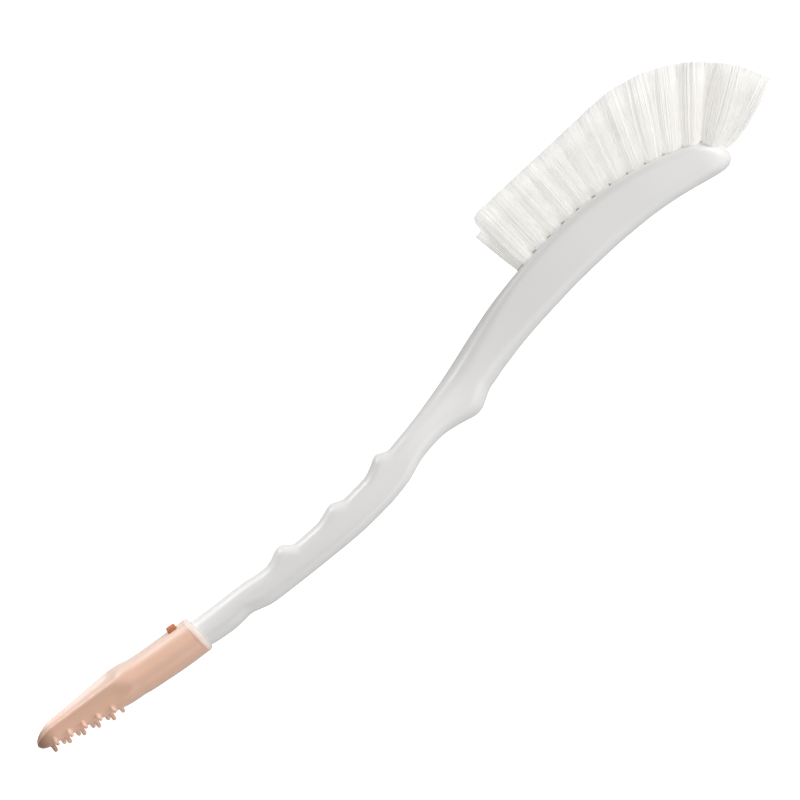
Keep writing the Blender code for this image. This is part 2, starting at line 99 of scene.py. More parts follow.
floor_mesh = bmesh.new()
bmesh.ops.create_grid(floor_mesh, x_segments=1, y_segments=1, size=FLOOR_SIZE / 2)
floor = bpy.data.objects.new('floor', bpy.data.meshes.new('floor'))
floor_mesh.to_mesh(floor.data)
floor_mesh.free()
floor.location.z = cad_box[0].z - FLOOR_DROP
bpy.context.scene.collection.objects.link(floor)

paper = bpy.data.materials.new('white_paper')
paper.use_nodes = True
paper_shader = paper.node_tree.nodes['Principled BSDF']
paper_shader.inputs['Base Color'].default_value = (PAPER_TONE, PAPER_TONE, PAPER_TONE, 1)
paper_shader.inputs['Roughness'].default_value = 1
paper_shader.inputs['Emission Color'].default_value = (1, 1, 1, 1)
seen = paper.node_tree.nodes.new('ShaderNodeLightPath')
glow = paper.node_tree.nodes.new('ShaderNodeMath')
glow.operation = 'MULTIPLY'
glow.inputs[1].default_value = FLOOR_GLOW
paper.node_tree.links.new(seen.outputs['Is Camera Ray'], glow.inputs[0])
paper.node_tree.links.new(glow.outputs[0], paper_shader.inputs['Emission Strength'])
floor.data.materials.append(paper)

for name, way, height, distance, across, tall, strength, beam, aim in SOFT_BOXES:
    box = bpy.data.objects.new(name, bpy.data.lights.new(name, 'AREA'))
    box.data.shape = 'RECTANGLE'
    box.data.size, box.data.size_y = across, tall
    box.data.energy = POWER_FOR_STRENGTH * strength * distance ** 2
    box.data.spread = math.radians(beam)
    way, height = math.radians(way), math.radians(height)
    box_way = Vector((math.cos(way) * math.cos(height), math.sin(way) * math.cos(height),
                      math.sin(height)))
    box.location = box_way * distance + aim
    box.rotation_euler = box_way.to_track_quat('Z', 'Y').to_euler()
    box.visible_camera = False
    bpy.context.scene.collection.objects.link(box)

world = bpy.data.worlds.new('surround')
world.use_nodes = True
bpy.context.scene.world = world
sky = world.node_tree.nodes['Background']
sky_seen = world.node_tree.nodes.new('ShaderNodeLightPath')
sky_level = world.node_tree.nodes.new('ShaderNodeMapRange')
sky_level.inputs['To Min'].default_value = SURROUND
sky_level.inputs['To Max'].default_value = 1
world.node_tree.links.new(sky_seen.outputs['Is Camera Ray'], sky_level.inputs['Value'])
world.node_tree.links.new(sky_level.outputs[0], sky.inputs['Strength'])
sky.inputs['Color'].default_value = (1, 1, 1, 1)

# Handle
# One solid moulding in white plastic: a tang for the teat cleaner, a grip with finger crests
# and a thumb bump, a slim neck and a curved head, drilled with three rows of tuft holes.
HANDLE_LENGTH = 223.4 * MM
HANDLE_SWAY = 28.6 * MM
MOUTH_WIDTH = 9.8 * MM
GRIP_WIDTH = 20 * MM
NECK_WIDTH = 13.5 * MM
HEAD_WIDTH = 20 * MM
NOSE_WIDTH = 17 * MM
NOSE_LENGTH = 9.6 * MM
NOSE_CAP_ANGLE = math.radians(84)
MOUTH_ROUND = 4.5 * MM
GRIP_ROUND = 3.8 * MM
NECK_ROUND = 6.3 * MM
HEAD_FACE_ROUND = 3.2 * MM
HEAD_BACK_ROUND = 4.2 * MM
NOSE_ROUND = 5 * MM
FIRST_CREST = 36.1 * MM
CREST_PITCH = 20.75 * MM
CREST_HEIGHT = 3.3 * MM
CREST_RAMP = 7.7 * MM
CREST_FALL = 4.6 * MM
BUMP_PEAK = 110.9 * MM
BUMP_HEIGHT = 3.75 * MM
BUMP_RAMP = 14.4 * MM
BUMP_FALL = 9 * MM
TANG_ANGLE = math.radians(8.6)
TANG_LENGTH = 34 * MM
TANG_COLLAR = 5.5 * MM
TANG_STEP = 1.2 * MM
TANG_HEIGHT = 7.2 * MM
TANG_WIDTH = 6.2 * MM
TANG_ROUND = 1.9 * MM
TANG_TIP_ROUND = 1.4 * MM
MIDDLE_TUFTS = 13
TUFT_PITCH = 6.25 * MM
ROW_SPACING = 4.9 * MM
NOSE_MARGIN = 2.4 * MM
HOLE_RADIUS = 1.7 * MM
HOLE_DEPTH = 4.9 * MM
DRILL_OVERRUN = 2.5 * MM
RING_PITCH = 0.9 * MM
ARC_STEPS = 600
CORNER_POINTS = 9
FLAT_POINTS = 5
HOLE_SIDES = 28
NOSE_RING_TURNS = (*range(0, 88, 3), 88, 89, 89.7)
HANDLE_EDGE_ANGLE = 38
FACE_EDGE_SHARES = (
    (0.000, -0.161), (0.034, -0.190), (0.090, -0.232), (0.117, -0.268), (0.173, -0.300),
    (0.257, -0.313), (0.327, -0.290), (0.369, -0.248), (0.425, -0.186), (0.481, -0.098),
    (0.509, -0.044), (0.565, 0.071), (0.621, 0.168), (0.683, 0.234), (0.733, 0.263),
    (0.775, 0.271), (0.845, 0.226), (0.901, 0.133), (0.929, 0.066), (0.957, -0.010),
    (1.000, -0.170))
BACK_EDGE_SHARES = (
    (0.000, -0.495), (0.020, -0.525), (0.048, -0.546), (0.070, -0.541), (0.087, -0.579),
    (0.103, -0.617), (0.145, -0.650), (0.201, -0.683), (0.271, -0.710), (0.313, -0.699),
    (0.355, -0.656), (0.397, -0.563), (0.425, -0.538), (0.530, -0.503), (0.565, -0.448),
    (0.621, -0.377), (0.677, -0.337), (0.733, -0.311), (0.789, -0.307), (0.845, -0.325),
    (0.887, -0.360), (0.957, -0.472), (1.000, -0.562))
NOSE_TIP_SHARE = -0.33
NOSE_POWER = 2.6
CREST_HEIGHT_SHARES = (1.0, 0.66, 0.86)
CREST_TIP_SHARE = 0.2
CREST_TIP_POWER = 8
CREST_RAMP_POWER = 1.5
WIDTH_SHARES = (0.0, 0.33, 0.37, 0.51, 0.775, 0.865, 1.0)
ROUND_SHARES = (0.0, 0.14, 0.36, 0.52, 0.68, 0.90, 1.0)
MOST_ROUND_SHARE = 0.48
TANG_TAPER_SHARE = 0.86
LEAN_SHARES = (
    (0.00, 95), (0.04, 93), (0.08, 91), (0.32, 88), (0.40, 83), (0.48, 76), (0.56, 71),
    (0.64, 66), (0.72, 59), (0.80, 52.5), (0.88, 47), (0.92, 41), (0.96, 32), (1.00, 20.5))
STAGGER_SHARE = 0.5
SIDE = Vector((0, 0, 1))
TANG_OUT = Vector((-math.cos(TANG_ANGLE), math.sin(TANG_ANGLE), 0))
TANG_UP = Vector((math.sin(TANG_ANGLE), math.cos(TANG_ANGLE), 0))


def smooth(points, place):
    """Height at a place on a monotone cubic curve through the points."""
    if place <= points[0][0]:
        return points[0][1]
    if place >= points[-1][0]:
        return points[-1][1]
    steps = [b[0] - a[0] for a, b in zip(points, points[1:])]
    slopes = [(b[1] - a[1]) / run for a, b, run in zip(points, points[1:], steps)]
    tangents = [slopes[0]]
    for before, after in zip(slopes, slopes[1:]):
        tangents.append(2 * before * after / (before + after) if before * after > 0 else 0)
    tangents.append(slopes[-1])
    i = max(k for k in range(len(steps)) if points[k][0] <= place)
    t = (place - points[i][0]) / steps[i]
    rise = points[i][1] * (1 + 2 * t) * (1 - t) ** 2 + points[i + 1][1] * t * t * (3 - 2 * t)
    return rise + steps[i] * t * (1 - t) * (tangents[i] * (1 - t) - tangents[i + 1] * t)


def crest(x, peak, height, ramp, fall):
    """A crest with a hollow ramp up to its peak and a short rounded fall behind it."""
    if peak - ramp < x <= peak:
        rise = (x - peak + ramp) / ramp
        tip = 1 - CREST_TIP_SHARE * rise ** CREST_TIP_POWER
        return height * tip * rise ** CREST_RAMP_POWER
    if peak < x < peak + fall:
        drop = (x - peak) / fall
        return height * (1 - CREST_TIP_SHARE) * (1 - drop * drop * (3 - 2 * drop))
    return 0


def nose_keep(x):
    """Share of its full section that the handle keeps at a place, past which the nose rounds."""
    past = min(1, max(0, x - HANDLE_LENGTH + NOSE_LENGTH) / NOSE_LENGTH)
    return (1 - past ** NOSE_POWER) ** (1 / NOSE_POWER)


def edge_height(points, x):
    """Height of an edge of the handle, drawn in round the nose."""
    tip = HANDLE_SWAY * NOSE_TIP_SHARE
    return tip + (HANDLE_SWAY * smooth(points, x / HANDLE_LENGTH) - tip) * nose_keep(x)


def face_edge(x, with_crests=True):
    """Height of the edge that carries the crests and, on the head, the bristles."""
    y = edge_height(FACE_EDGE_SHARES, x)
    if with_crests:
        for number, share in enumerate(CREST_HEIGHT_SHARES):
            peak = FIRST_CREST + number * CREST_PITCH
            y += crest(x, peak, CREST_HEIGHT * share, CREST_RAMP, CREST_FALL)
    return y


def back_edge(x):
    """Height of the edge that carries the thumb bump."""
    return edge_height(BACK_EDGE_SHARES, x) - crest(x, BUMP_PEAK, BUMP_HEIGHT, BUMP_RAMP, BUMP_FALL)


def half_width(x):
    """Half the handle's width, drawn in round the nose."""
    widths = (MOUTH_WIDTH, GRIP_WIDTH, GRIP_WIDTH, NECK_WIDTH, HEAD_WIDTH, HEAD_WIDTH, NOSE_WIDTH)
    return smooth(tuple(zip(WIDTH_SHARES, widths)), x / HANDLE_LENGTH) / 2 * nose_keep(x)


def corner_radii(x):
    """How round the section's corners are on the face and on the back."""
    face = (MOUTH_ROUND, GRIP_ROUND, GRIP_ROUND, NECK_ROUND, HEAD_FACE_ROUND, HEAD_FACE_ROUND,
            NOSE_ROUND)
    back = (MOUTH_ROUND, GRIP_ROUND, GRIP_ROUND, NECK_ROUND, HEAD_BACK_ROUND, HEAD_BACK_ROUND,
            NOSE_ROUND)
    most = MOST_ROUND_SHARE * min(face_edge(x) - back_edge(x), 2 * half_width(x))
    share = x / HANDLE_LENGTH
    return [min(most, smooth(tuple(zip(ROUND_SHARES, radii)), share)) for radii in (face, back)]


def rounded_ring(middle, up, half, above, below, face_round, back_round):
    """A rounded rectangle across the handle, with points along its flats as well."""
    corners = (
        (half - face_round, above - face_round, face_round, 90),
        (half - back_round, back_round - below, back_round, 0),
        (back_round - half, back_round - below, back_round, -90),
        (face_round - half, above - face_round, face_round, -180))
    arcs = []
    for side, height, radius, start in corners:
        turns = [math.radians(start - 90 * k / (CORNER_POINTS - 1)) for k in range(CORNER_POINTS)]
        arcs.append([middle + SIDE * (side + radius * math.cos(turn))
                     + up * (height + radius * math.sin(turn)) for turn in turns])
    ring = []
    for arc, following in zip(arcs, arcs[1:] + arcs[:1]):
        ring += arc
        ring += [arc[-1].lerp(following[0], k / FLAT_POINTS) for k in range(1, FLAT_POINTS)]
    return ring


def loft(name, rings):
    """A closed mesh through rings of equal count, with a flat cap at each end."""
    solid = bmesh.new()
    loops = [[solid.verts.new(point) for point in ring] for ring in rings]
    count = len(loops[0])
    for low, high in zip(loops, loops[1:]):
        for k in range(count):
            nxt = (k + 1) % count
            solid.faces.new((low[k], low[nxt], high[nxt], high[k]))
    solid.faces.new(loops[0])
    solid.faces.new(loops[-1])
    bmesh.ops.recalc_face_normals(solid, faces=solid.faces)
    made = bpy.data.objects.new(name, bpy.data.meshes.new(name))
    solid.to_mesh(made.data)
    solid.free()
    bpy.context.scene.collection.objects.link(made)
    return made


# The drawing's own origin, at the teat cleaner's mouth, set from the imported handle's box
handle_low, handle_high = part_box('handle')
highest_face = HANDLE_SWAY * max(share for _, share in FACE_EDGE_SHARES)
nose_start = HANDLE_LENGTH - NOSE_LENGTH
nose_cap = nose_start + NOSE_LENGTH * math.sin(NOSE_CAP_ANGLE)
origin = Vector((handle_high.x - nose_cap, handle_high.y - highest_face,
                 (handle_low.z + handle_high.z) / 2))
mouth_middle = Vector((0, (face_edge(0) + back_edge(0)) / 2, 0))


def handle_ring(x):
    """The handle's section at a place along it."""
    top, bottom = face_edge(x), back_edge(x)
    middle = origin + Vector((x, (top + bottom) / 2, 0))
    depth = (top - bottom) / 2
    return rounded_ring(middle, Vector((0, 1, 0)), half_width(x), depth, depth, *corner_radii(x))


def tang_ring(out, height, width, radius, wider=0):
    """The tang's section at a distance out from the mouth, or the bore's, with its clearance."""
    middle = origin + mouth_middle + TANG_OUT * out
    half, deep = width / 2 + wider, height / 2 + wider
    return rounded_ring(middle, TANG_UP, half, deep, deep, radius + wider, radius + wider)


mouth_height = face_edge(0) - back_edge(0)
tang_sections = (
    (TANG_COLLAR, mouth_height, MOUTH_WIDTH, MOUTH_ROUND),
    (TANG_COLLAR + TANG_STEP, TANG_HEIGHT, TANG_WIDTH, TANG_ROUND),
    (TANG_LENGTH - TANG_TIP_ROUND, TANG_HEIGHT * TANG_TAPER_SHARE,
     TANG_WIDTH * TANG_TAPER_SHARE, TANG_ROUND * TANG_TAPER_SHARE),
    (TANG_LENGTH, TANG_HEIGHT * TANG_TAPER_SHARE - 2 * TANG_TIP_ROUND,
     TANG_WIDTH * TANG_TAPER_SHARE - 2 * TANG_TIP_ROUND, TANG_ROUND * TANG_TAPER_SHARE / 2))
ring_count = round(nose_start / RING_PITCH)
ring_places = [nose_start * k / ring_count for k in range(ring_count)]
ring_places += [nose_start + NOSE_LENGTH * math.sin(math.radians(turn))
                for turn in NOSE_RING_TURNS]
handle = loft('handle_moulding', [tang_ring(*section) for section in reversed(tang_sections)]
              + [handle_ring(x) for x in ring_places])


def new_tree(name, inputs):
    """A Geometry Nodes tree with a geometry in and out and the named inputs for its sizes."""
    tree = bpy.data.node_groups.new(name, 'GeometryNodeTree')
    tree.interface.new_socket('Geometry', in_out='INPUT', socket_type='NodeSocketGeometry')
    tree.interface.new_socket('Geometry', in_out='OUTPUT', socket_type='NodeSocketGeometry')
    for label, kind in inputs.items():
        tree.interface.new_socket(label, in_out='INPUT', socket_type='NodeSocket' + kind)
    return tree


def add(tree, kind, wires=None, **settings):
    """Adds a node with its settings; wires gives an input, by name or number, its value or link."""
    node = tree.nodes.new(kind)
    for name, value in settings.items():
        setattr(node, name, value)
    for place, value in (wires or {}).items():
        if isinstance(value, bpy.types.NodeSocket):
            tree.links.new(value, node.inputs[place])
        else:
            node.inputs[place].default_value = value
    return node


def maths(tree, operation, *values):
    """The result of a Math node."""
    return add(tree, 'ShaderNodeMath', dict(enumerate(values)), operation=operation).outputs[0]


def vectors(tree, operation, *values):
    """The result of a Vector Math node."""
    node = add(tree, 'ShaderNodeVectorMath', operation=operation)
    for place, value in enumerate(values):
        slot = node.inputs['Scale'] if operation == 'SCALE' and place == 1 else node.inputs[place]
        if isinstance(value, bpy.types.NodeSocket):
            tree.links.new(value, slot)
        else:
            slot.default_value = value
    return node.outputs['Value' if operation in ('DOT_PRODUCT', 'LENGTH') else 'Vector']


def grow(piece, tree, values):
    """Runs a tree on a piece with its inputs set, and keeps what it makes as a plain mesh.

    The empty material slots that Blender's own shapes bring into a tree are left out.
    """
    growth = piece.modifiers.new(tree.name, 'NODES')
    growth.node_group = tree
    for item in tree.interface.items_tree:
        if item.in_out == 'INPUT' and item.name in values:
            growth[item.identifier] = values[item.name]
    grown = piece.evaluated_get(bpy.context.evaluated_depsgraph_get())
    mesh = bpy.data.meshes.new_from_object(grown)
    for slot in reversed(range(len(mesh.materials))):
        if mesh.materials[slot] is None:
            mesh.materials.pop(index=slot)
    piece.modifiers.clear()
    piece.data = mesh


# The moulder's grain, which every moulded piece has: soft cloudiness in the colour and the
# gloss, and a fine pitting of the tool's surface
CLOUD_DETAIL = 3
CLOUD_ROUGHNESS = 0.55
CLOUD_LOW = 0.3
CLOUD_HIGH = 0.7
GRAIN_DETAIL = 2
moulding = bpy.data.node_groups.new('moulded_surface', 'ShaderNodeTree')
for label, kind in (('Colour', 'Color'), ('Cloud', 'Float'), ('Cloud Scale', 'Float'),
                    ('Gloss Low', 'Float'), ('Gloss High', 'Float'), ('Grain Scale', 'Float')):
    moulding.interface.new_socket(label, in_out='INPUT', socket_type='NodeSocket' + kind)
for label, kind in (('Colour', 'Color'), ('Roughness', 'Float'), ('Height', 'Float')):
    moulding.interface.new_socket(label, in_out='OUTPUT', socket_type='NodeSocket' + kind)
asked = moulding.nodes.new('NodeGroupInput').outputs
place = add(moulding, 'ShaderNodeTexCoord').outputs['Object']
clouds = add(moulding, 'ShaderNodeTexNoise', {'Vector': place, 'Scale': asked['Cloud Scale'],
                                              'Detail': CLOUD_DETAIL,
                                              'Roughness': CLOUD_ROUGHNESS})
swing = maths(moulding, 'MULTIPLY', maths(moulding, 'SUBTRACT', clouds.outputs[0], 0.5),
              asked['Cloud'])
level = maths(moulding, 'ADD', swing, 1)
clouded = vectors(moulding, 'SCALE', asked['Colour'], level)
gloss = add(moulding, 'ShaderNodeMapRange', {
    'Value': clouds.outputs[0], 'From Min': CLOUD_LOW, 'From Max': CLOUD_HIGH,
    'To Min': asked['Gloss Low'], 'To Max': asked['Gloss High']})
grain = add(moulding, 'ShaderNodeTexNoise', {'Vector': place, 'Scale': asked['Grain Scale'],
                                             'Detail': GRAIN_DETAIL})
add(moulding, 'NodeGroupOutput', {'Colour': clouded, 'Roughness': gloss.outputs[0],
                                  'Height': grain.outputs[0]})


def moulded_material(name, surface, bump, shader_values):
    """A moulded plastic or rubber: the shared grain with this piece's values, in one shader."""
    material = bpy.data.materials.new(name)
    material.use_nodes = True
    nodes = material.node_tree
    shader = nodes.nodes['Principled BSDF']
    skin = add(nodes, 'ShaderNodeGroup', node_tree=moulding)
    for label, value in surface.items():
        skin.inputs[label].default_value = value
    relief = add(nodes, 'ShaderNodeBump', {'Height': skin.outputs['Height'], **bump})
    nodes.links.new(skin.outputs['Colour'], shader.inputs['Base Color'])
    nodes.links.new(skin.outputs['Roughness'], shader.inputs['Roughness'])
    nodes.links.new(relief.outputs[0], shader.inputs['Normal'])
    for label, value in shader_values.items():
        shader.inputs[label].default_value = value
    return material


WHITE = (0.885, 0.877, 0.862, 1)
PLASTIC_GRAIN_DEPTH = 0.05 * MM
white_plastic = moulded_material(
    'white_moulding',
    {'Colour': WHITE, 'Cloud': 0.05, 'Cloud Scale': 28, 'Gloss Low': 0.28,
     'Gloss High': 0.38, 'Grain Scale': 2600},
    {'Strength': 0.25, 'Distance': PLASTIC_GRAIN_DEPTH}, {'IOR': 1.49})

# Tuft seats: every tuft's root on the head's face, its hole's axis and its lean
face_arc = [(0, HANDLE_LENGTH, face_edge(HANDLE_LENGTH, False))]
for k in range(1, ARC_STEPS + 1):
    x = HANDLE_LENGTH * (1 - k / ARC_STEPS)
    y = face_edge(x, False)
    gone, last_x, last_y = face_arc[-1]
    face_arc.append((gone + math.hypot(x - last_x, y - last_y), x, y))


def face_point(back):
    """The face point at a distance back from the nose, and the direction square to the face."""
    for (near, x0, y0), (far, x1, y1) in zip(face_arc, face_arc[1:]):
        if far >= back:
            t = (back - near) / (far - near)
            along = Vector((x0 - x1, y0 - y1, 0)).normalized()
            place = Vector((x0 + (x1 - x0) * t, y0 + (y1 - y0) * t, 0))
            return place, Vector((-along.y, along.x, 0))


row_length = (MIDDLE_TUFTS - 1) * TUFT_PITCH
seats = {}
for row, side, stagger, tufts in (
        ('upper', ROW_SPACING, STAGGER_SHARE, MIDDLE_TUFTS - 1), ('middle', 0, 0, MIDDLE_TUFTS),
        ('lower', -ROW_SPACING, STAGGER_SHARE, MIDDLE_TUFTS - 1)):
    seats[row] = []
    for number in range(tufts):
        along = (number + stagger) * TUFT_PITCH
        root, square = face_point(NOSE_MARGIN + row_length - along)
        angle = math.radians(smooth(LEAN_SHARES, along / row_length))
        lean = Vector((math.cos(angle), math.sin(angle), 0))
        seats[row].append((origin + root + SIDE * side, (lean + square).normalized(), lean,
                           along / row_length))


def seat_points(name, rows):
    """A mesh of one point for each tuft, which carries the tuft's directions."""
    chosen = [seat for row in rows for seat in seats[row]]
    points = bpy.data.objects.new(name, bpy.data.meshes.new(name))
    points.data.from_pydata([seat[0] for seat in chosen], [], [])
    for place, label in ((1, 'hole'), (2, 'lean')):
        stored = points.data.attributes.new(label, 'FLOAT_VECTOR', 'POINT')
        stored.data.foreach_set('vector', [v for seat in chosen for v in seat[place]])
    bpy.context.scene.collection.objects.link(points)
    return points


drill = new_tree('drill_tuft_holes', {
    'Seats': 'Object', 'Hole radius': 'Float', 'Hole depth': 'Float', 'Overrun': 'Float',
    'Sides': 'Int', 'Plastic': 'Material'})
given = drill.nodes.new('NodeGroupInput').outputs
marks = add(drill, 'GeometryNodeObjectInfo', {'Object': given['Seats']})
bit_length = maths(drill, 'ADD', given['Hole depth'], given['Overrun'])
bit = add(drill, 'GeometryNodeMeshCylinder', {'Vertices': given['Sides'], 'Depth': bit_length,
                                              'Radius': given['Hole radius']})
lift = maths(drill, 'SUBTRACT', given['Overrun'], maths(drill, 'MULTIPLY', bit_length, 0.5))
bit_up = add(drill, 'GeometryNodeTransform', {
    'Geometry': bit.outputs['Mesh'],
    'Translation': add(drill, 'ShaderNodeCombineXYZ', {'Z': lift}).outputs[0]})
hole_axis = add(drill, 'GeometryNodeInputNamedAttribute', {'Name': 'hole'}, data_type='FLOAT_VECTOR')
aimed = add(drill, 'FunctionNodeAlignRotationToVector', {'Vector': hole_axis.outputs[0]}, axis='Z')
bits = add(drill, 'GeometryNodeInstanceOnPoints', {
    'Points': marks.outputs['Geometry'], 'Instance': bit_up.outputs[0],
    'Rotation': aimed.outputs[0]})
real_bits = add(drill, 'GeometryNodeRealizeInstances', {0: bits.outputs[0]})
drilled = add(drill, 'GeometryNodeMeshBoolean', {
    'Mesh 1': given['Geometry'], 'Mesh 2': real_bits.outputs[0]},
    operation='DIFFERENCE', solver='EXACT')
plastic = add(drill, 'GeometryNodeSetMaterial', {
    'Geometry': drilled.outputs[0], 'Material': given['Plastic']})
add(drill, 'NodeGroupOutput', {0: plastic.outputs[0]})

hole_marks = seat_points('hole_marks', seats)
grow(handle, drill, {
    'Seats': hole_marks, 'Hole radius': HOLE_RADIUS, 'Hole depth': HOLE_DEPTH,
    'Overrun': DRILL_OVERRUN, 'Sides': HOLE_SIDES, 'Plastic': white_plastic})
bpy.data.objects.remove(hole_marks)


def shade(piece, angle):
    """Smooth shading that keeps edges sharper than an angle in degrees."""
    piece.data.shade_smooth()
    piece.data.set_sharp_from_angle(angle=math.radians(angle))


shade(handle, HANDLE_EDGE_ANGLE)
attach(handle, 'brush')
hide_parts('handle')

# Bristles
# Thirty-seven tufts of white nylon filament in three staggered rows. Each bundle starts inside
# its hole, fans out above it and is trimmed to a curve.
FILAMENTS = 190
FILAMENT_RADIUS = 0.14 * MM
BUNDLE_RADIUS = 1.45 * MM
BUNDLE_SUNK = 1.6 * MM
BRISTLE_LENGTH = 21 * MM
TRIM_RADIUS = 50 * MM
TRIM_CENTRE_BACK = 21.3 * MM
HEEL_LEAD = 0.4 * MM
HEEL_STEPS = ((8 * MM, 40 * MM), (7 * MM, 5.4 * MM), (2 * MM, 5.2 * MM), (1.85 * MM, 3.9 * MM),
              (1.4 * MM, 1.7 * MM), (0.7 * MM, 0.6 * MM), (-1.2 * MM, 0.1 * MM))
TRIM_HALF_WIDTH = 25 * MM
SPREAD_ALONG = 2.9 * MM
SPREAD_ACROSS = 3.3 * MM
FLARE_HEIGHT = 1.8 * MM
# Shares along the head, from the heel to the nose, of the flare above the hole, of the painted
# shade in the middle row's roots, of the nylon's painted glow, and of that glow at the tips
FLARE_SHARES = ((0.0, 0.2), (0.05, 1.0), (1.0, 1.0))
ROOT_SHADE_SHARES = ((0.0, 0.62), (0.85, 0.62), (0.97, 0.15), (1.0, 0.0))
LIGHT_SHARES = ((0.0, 0.97), (0.6, 1.02), (0.78, 1.15), (0.9, 1.05), (1.0, 0.83))
TIP_LIGHT_SHARES = ((0.0, 2.0), (0.45, 2.0), (0.8, 1.5), (0.9, 1.0), (1.0, 0.85))
LOOSENESS = 0.5 * MM
TRIM_UNEVEN = 0.6 * MM
SPREAD_SHARES = ((0.00, 0.8), (0.08, 1.0), (0.34, 1.0), (0.45, 1.42), (0.85, 1.5), (1.00, 1.95))
FILAMENT_SIDES = 6
FILAMENT_STEPS = 5
TRIM_TURN_STEP = 2
TRIM_REACH = 1000 * MM
SHORT_SEED_STEP = 50
GOLDEN_TURN = math.pi * (3 - math.sqrt(5))

every_seat = [seat for row in seats.values() for seat in row]
trim_top = max(seat[0].y for seat in every_seat) + BRISTLE_LENGTH
heel_x = min(seat[0].x for seat in every_seat) + HEEL_LEAD
nose_x = origin.x + HANDLE_LENGTH - TRIM_CENTRE_BACK
outline = [(heel_x - ahead, trim_top - down) for ahead, down in HEEL_STEPS]
outline += [(nose_x + TRIM_RADIUS * math.sin(math.radians(turn)),
             trim_top - TRIM_RADIUS * (1 - math.cos(math.radians(turn))))
            for turn in range(0, 91, TRIM_TURN_STEP)]
trim_mesh = bmesh.new()
edges = [[trim_mesh.verts.new((x, y, origin.z + side)) for x, y in outline]
         for side in (-TRIM_HALF_WIDTH, TRIM_HALF_WIDTH)]
for k in range(len(outline) - 1):
    trim_mesh.faces.new((edges[0][k], edges[0][k + 1], edges[1][k + 1], edges[1][k]))
trim_surface = bpy.data.objects.new('trim_surface', bpy.data.meshes.new('trim_surface'))
trim_mesh.to_mesh(trim_surface.data)
trim_mesh.free()
bpy.context.scene.collection.objects.link(trim_surface)

tufting = new_tree('tuft_row', {
    'Filaments': 'Int', 'Filament radius': 'Float', 'Bundle radius': 'Float', 'Sunk': 'Float',
    'Flare height': 'Float', 'Looseness': 'Float', 'Uneven': 'Float',
    'Sides': 'Int', 'Steps': 'Int', 'Seed': 'Int', 'Trim surface': 'Object', 'Nylon': 'Material'})
given = tufting.nodes.new('NodeGroupInput').outputs


def carried(label):
    """A vector that each tuft's point carries."""
    node = add(tufting, 'GeometryNodeInputNamedAttribute', {'Name': label},
               data_type='FLOAT_VECTOR')
    return node.outputs[0]


bundle = add(tufting, 'GeometryNodeDuplicateElements', {
    'Geometry': given['Geometry'], 'Amount': given['Filaments']}, domain='POINT')
number = bundle.outputs['Duplicate Index']
filled = maths(tufting, 'DIVIDE', maths(tufting, 'ADD', number, 0.5), given['Filaments'])
off_centre = maths(tufting, 'SQRT', filled)
turned = maths(tufting, 'MULTIPLY', number, GOLDEN_TURN)
across_row = maths(tufting, 'MULTIPLY', off_centre, maths(tufting, 'SINE', turned))
along_row = maths(tufting, 'MULTIPLY', off_centre, maths(tufting, 'COSINE', turned))
seat = add(tufting, 'GeometryNodeInputPosition').outputs[0]
row_way = vectors(tufting, 'CROSS_PRODUCT', carried('lean'), tuple(SIDE))
in_hole = vectors(tufting, 'ADD', vectors(tufting, 'SCALE', row_way, along_row),
                  vectors(tufting, 'SCALE', tuple(SIDE), across_row))
root = vectors(tufting, 'ADD', seat, vectors(tufting, 'SCALE', in_hole, given['Bundle radius']))
start = vectors(tufting, 'SUBTRACT', root, vectors(tufting, 'SCALE', carried('hole'), given['Sunk']))
trim_shape = add(tufting, 'GeometryNodeObjectInfo', {'Object': given['Trim surface']})


def cut_at_trim(origin_point, way):
    """The point where a line from a point meets the trim surface."""
    ray = add(tufting, 'GeometryNodeRaycast', {
        'Target Geometry': trim_shape.outputs['Geometry'], 'Source Position': origin_point,
        'Ray Direction': way, 'Ray Length': TRIM_REACH})
    return ray.outputs['Hit Position']


spread = add(tufting, 'ShaderNodeSeparateXYZ', {0: carried('spread')}).outputs
fan = vectors(
    tufting, 'ADD',
    vectors(tufting, 'SCALE', row_way, maths(tufting, 'MULTIPLY', along_row, spread['X'])),
    vectors(tufting, 'SCALE', tuple(SIDE), maths(tufting, 'MULTIPLY', across_row, spread['Y'])))
chance = add(tufting, 'FunctionNodeRandomValue', {
    'Min': (-1, -1, -1), 'Max': (1, 1, 1), 'Seed': given['Seed']}, data_type='FLOAT_VECTOR')
stray = vectors(tufting, 'SCALE', chance.outputs[0], given['Looseness'])
tuft_end = cut_at_trim(seat, carried('lean'))
aim = vectors(tufting, 'ADD', vectors(tufting, 'ADD', tuft_end, fan), stray)
cut_tip = cut_at_trim(root, vectors(tufting, 'SUBTRACT', aim, root))
short_seed = maths(tufting, 'ADD', given['Seed'], SHORT_SEED_STEP)
short = add(tufting, 'FunctionNodeRandomValue', {'Seed': short_seed})
tip = vectors(tufting, 'SUBTRACT', cut_tip, vectors(
    tufting, 'SCALE', carried('lean'), maths(tufting, 'MULTIPLY', short.outputs[1], given['Uneven'])))
rise = vectors(tufting, 'SCALE', carried('lean'), given['Flare height'])
flare = vectors(tufting, 'SCALE', vectors(tufting, 'ADD', fan, stray), spread['Z'])
knee = vectors(tufting, 'ADD', vectors(tufting, 'ADD', root, rise), flare)

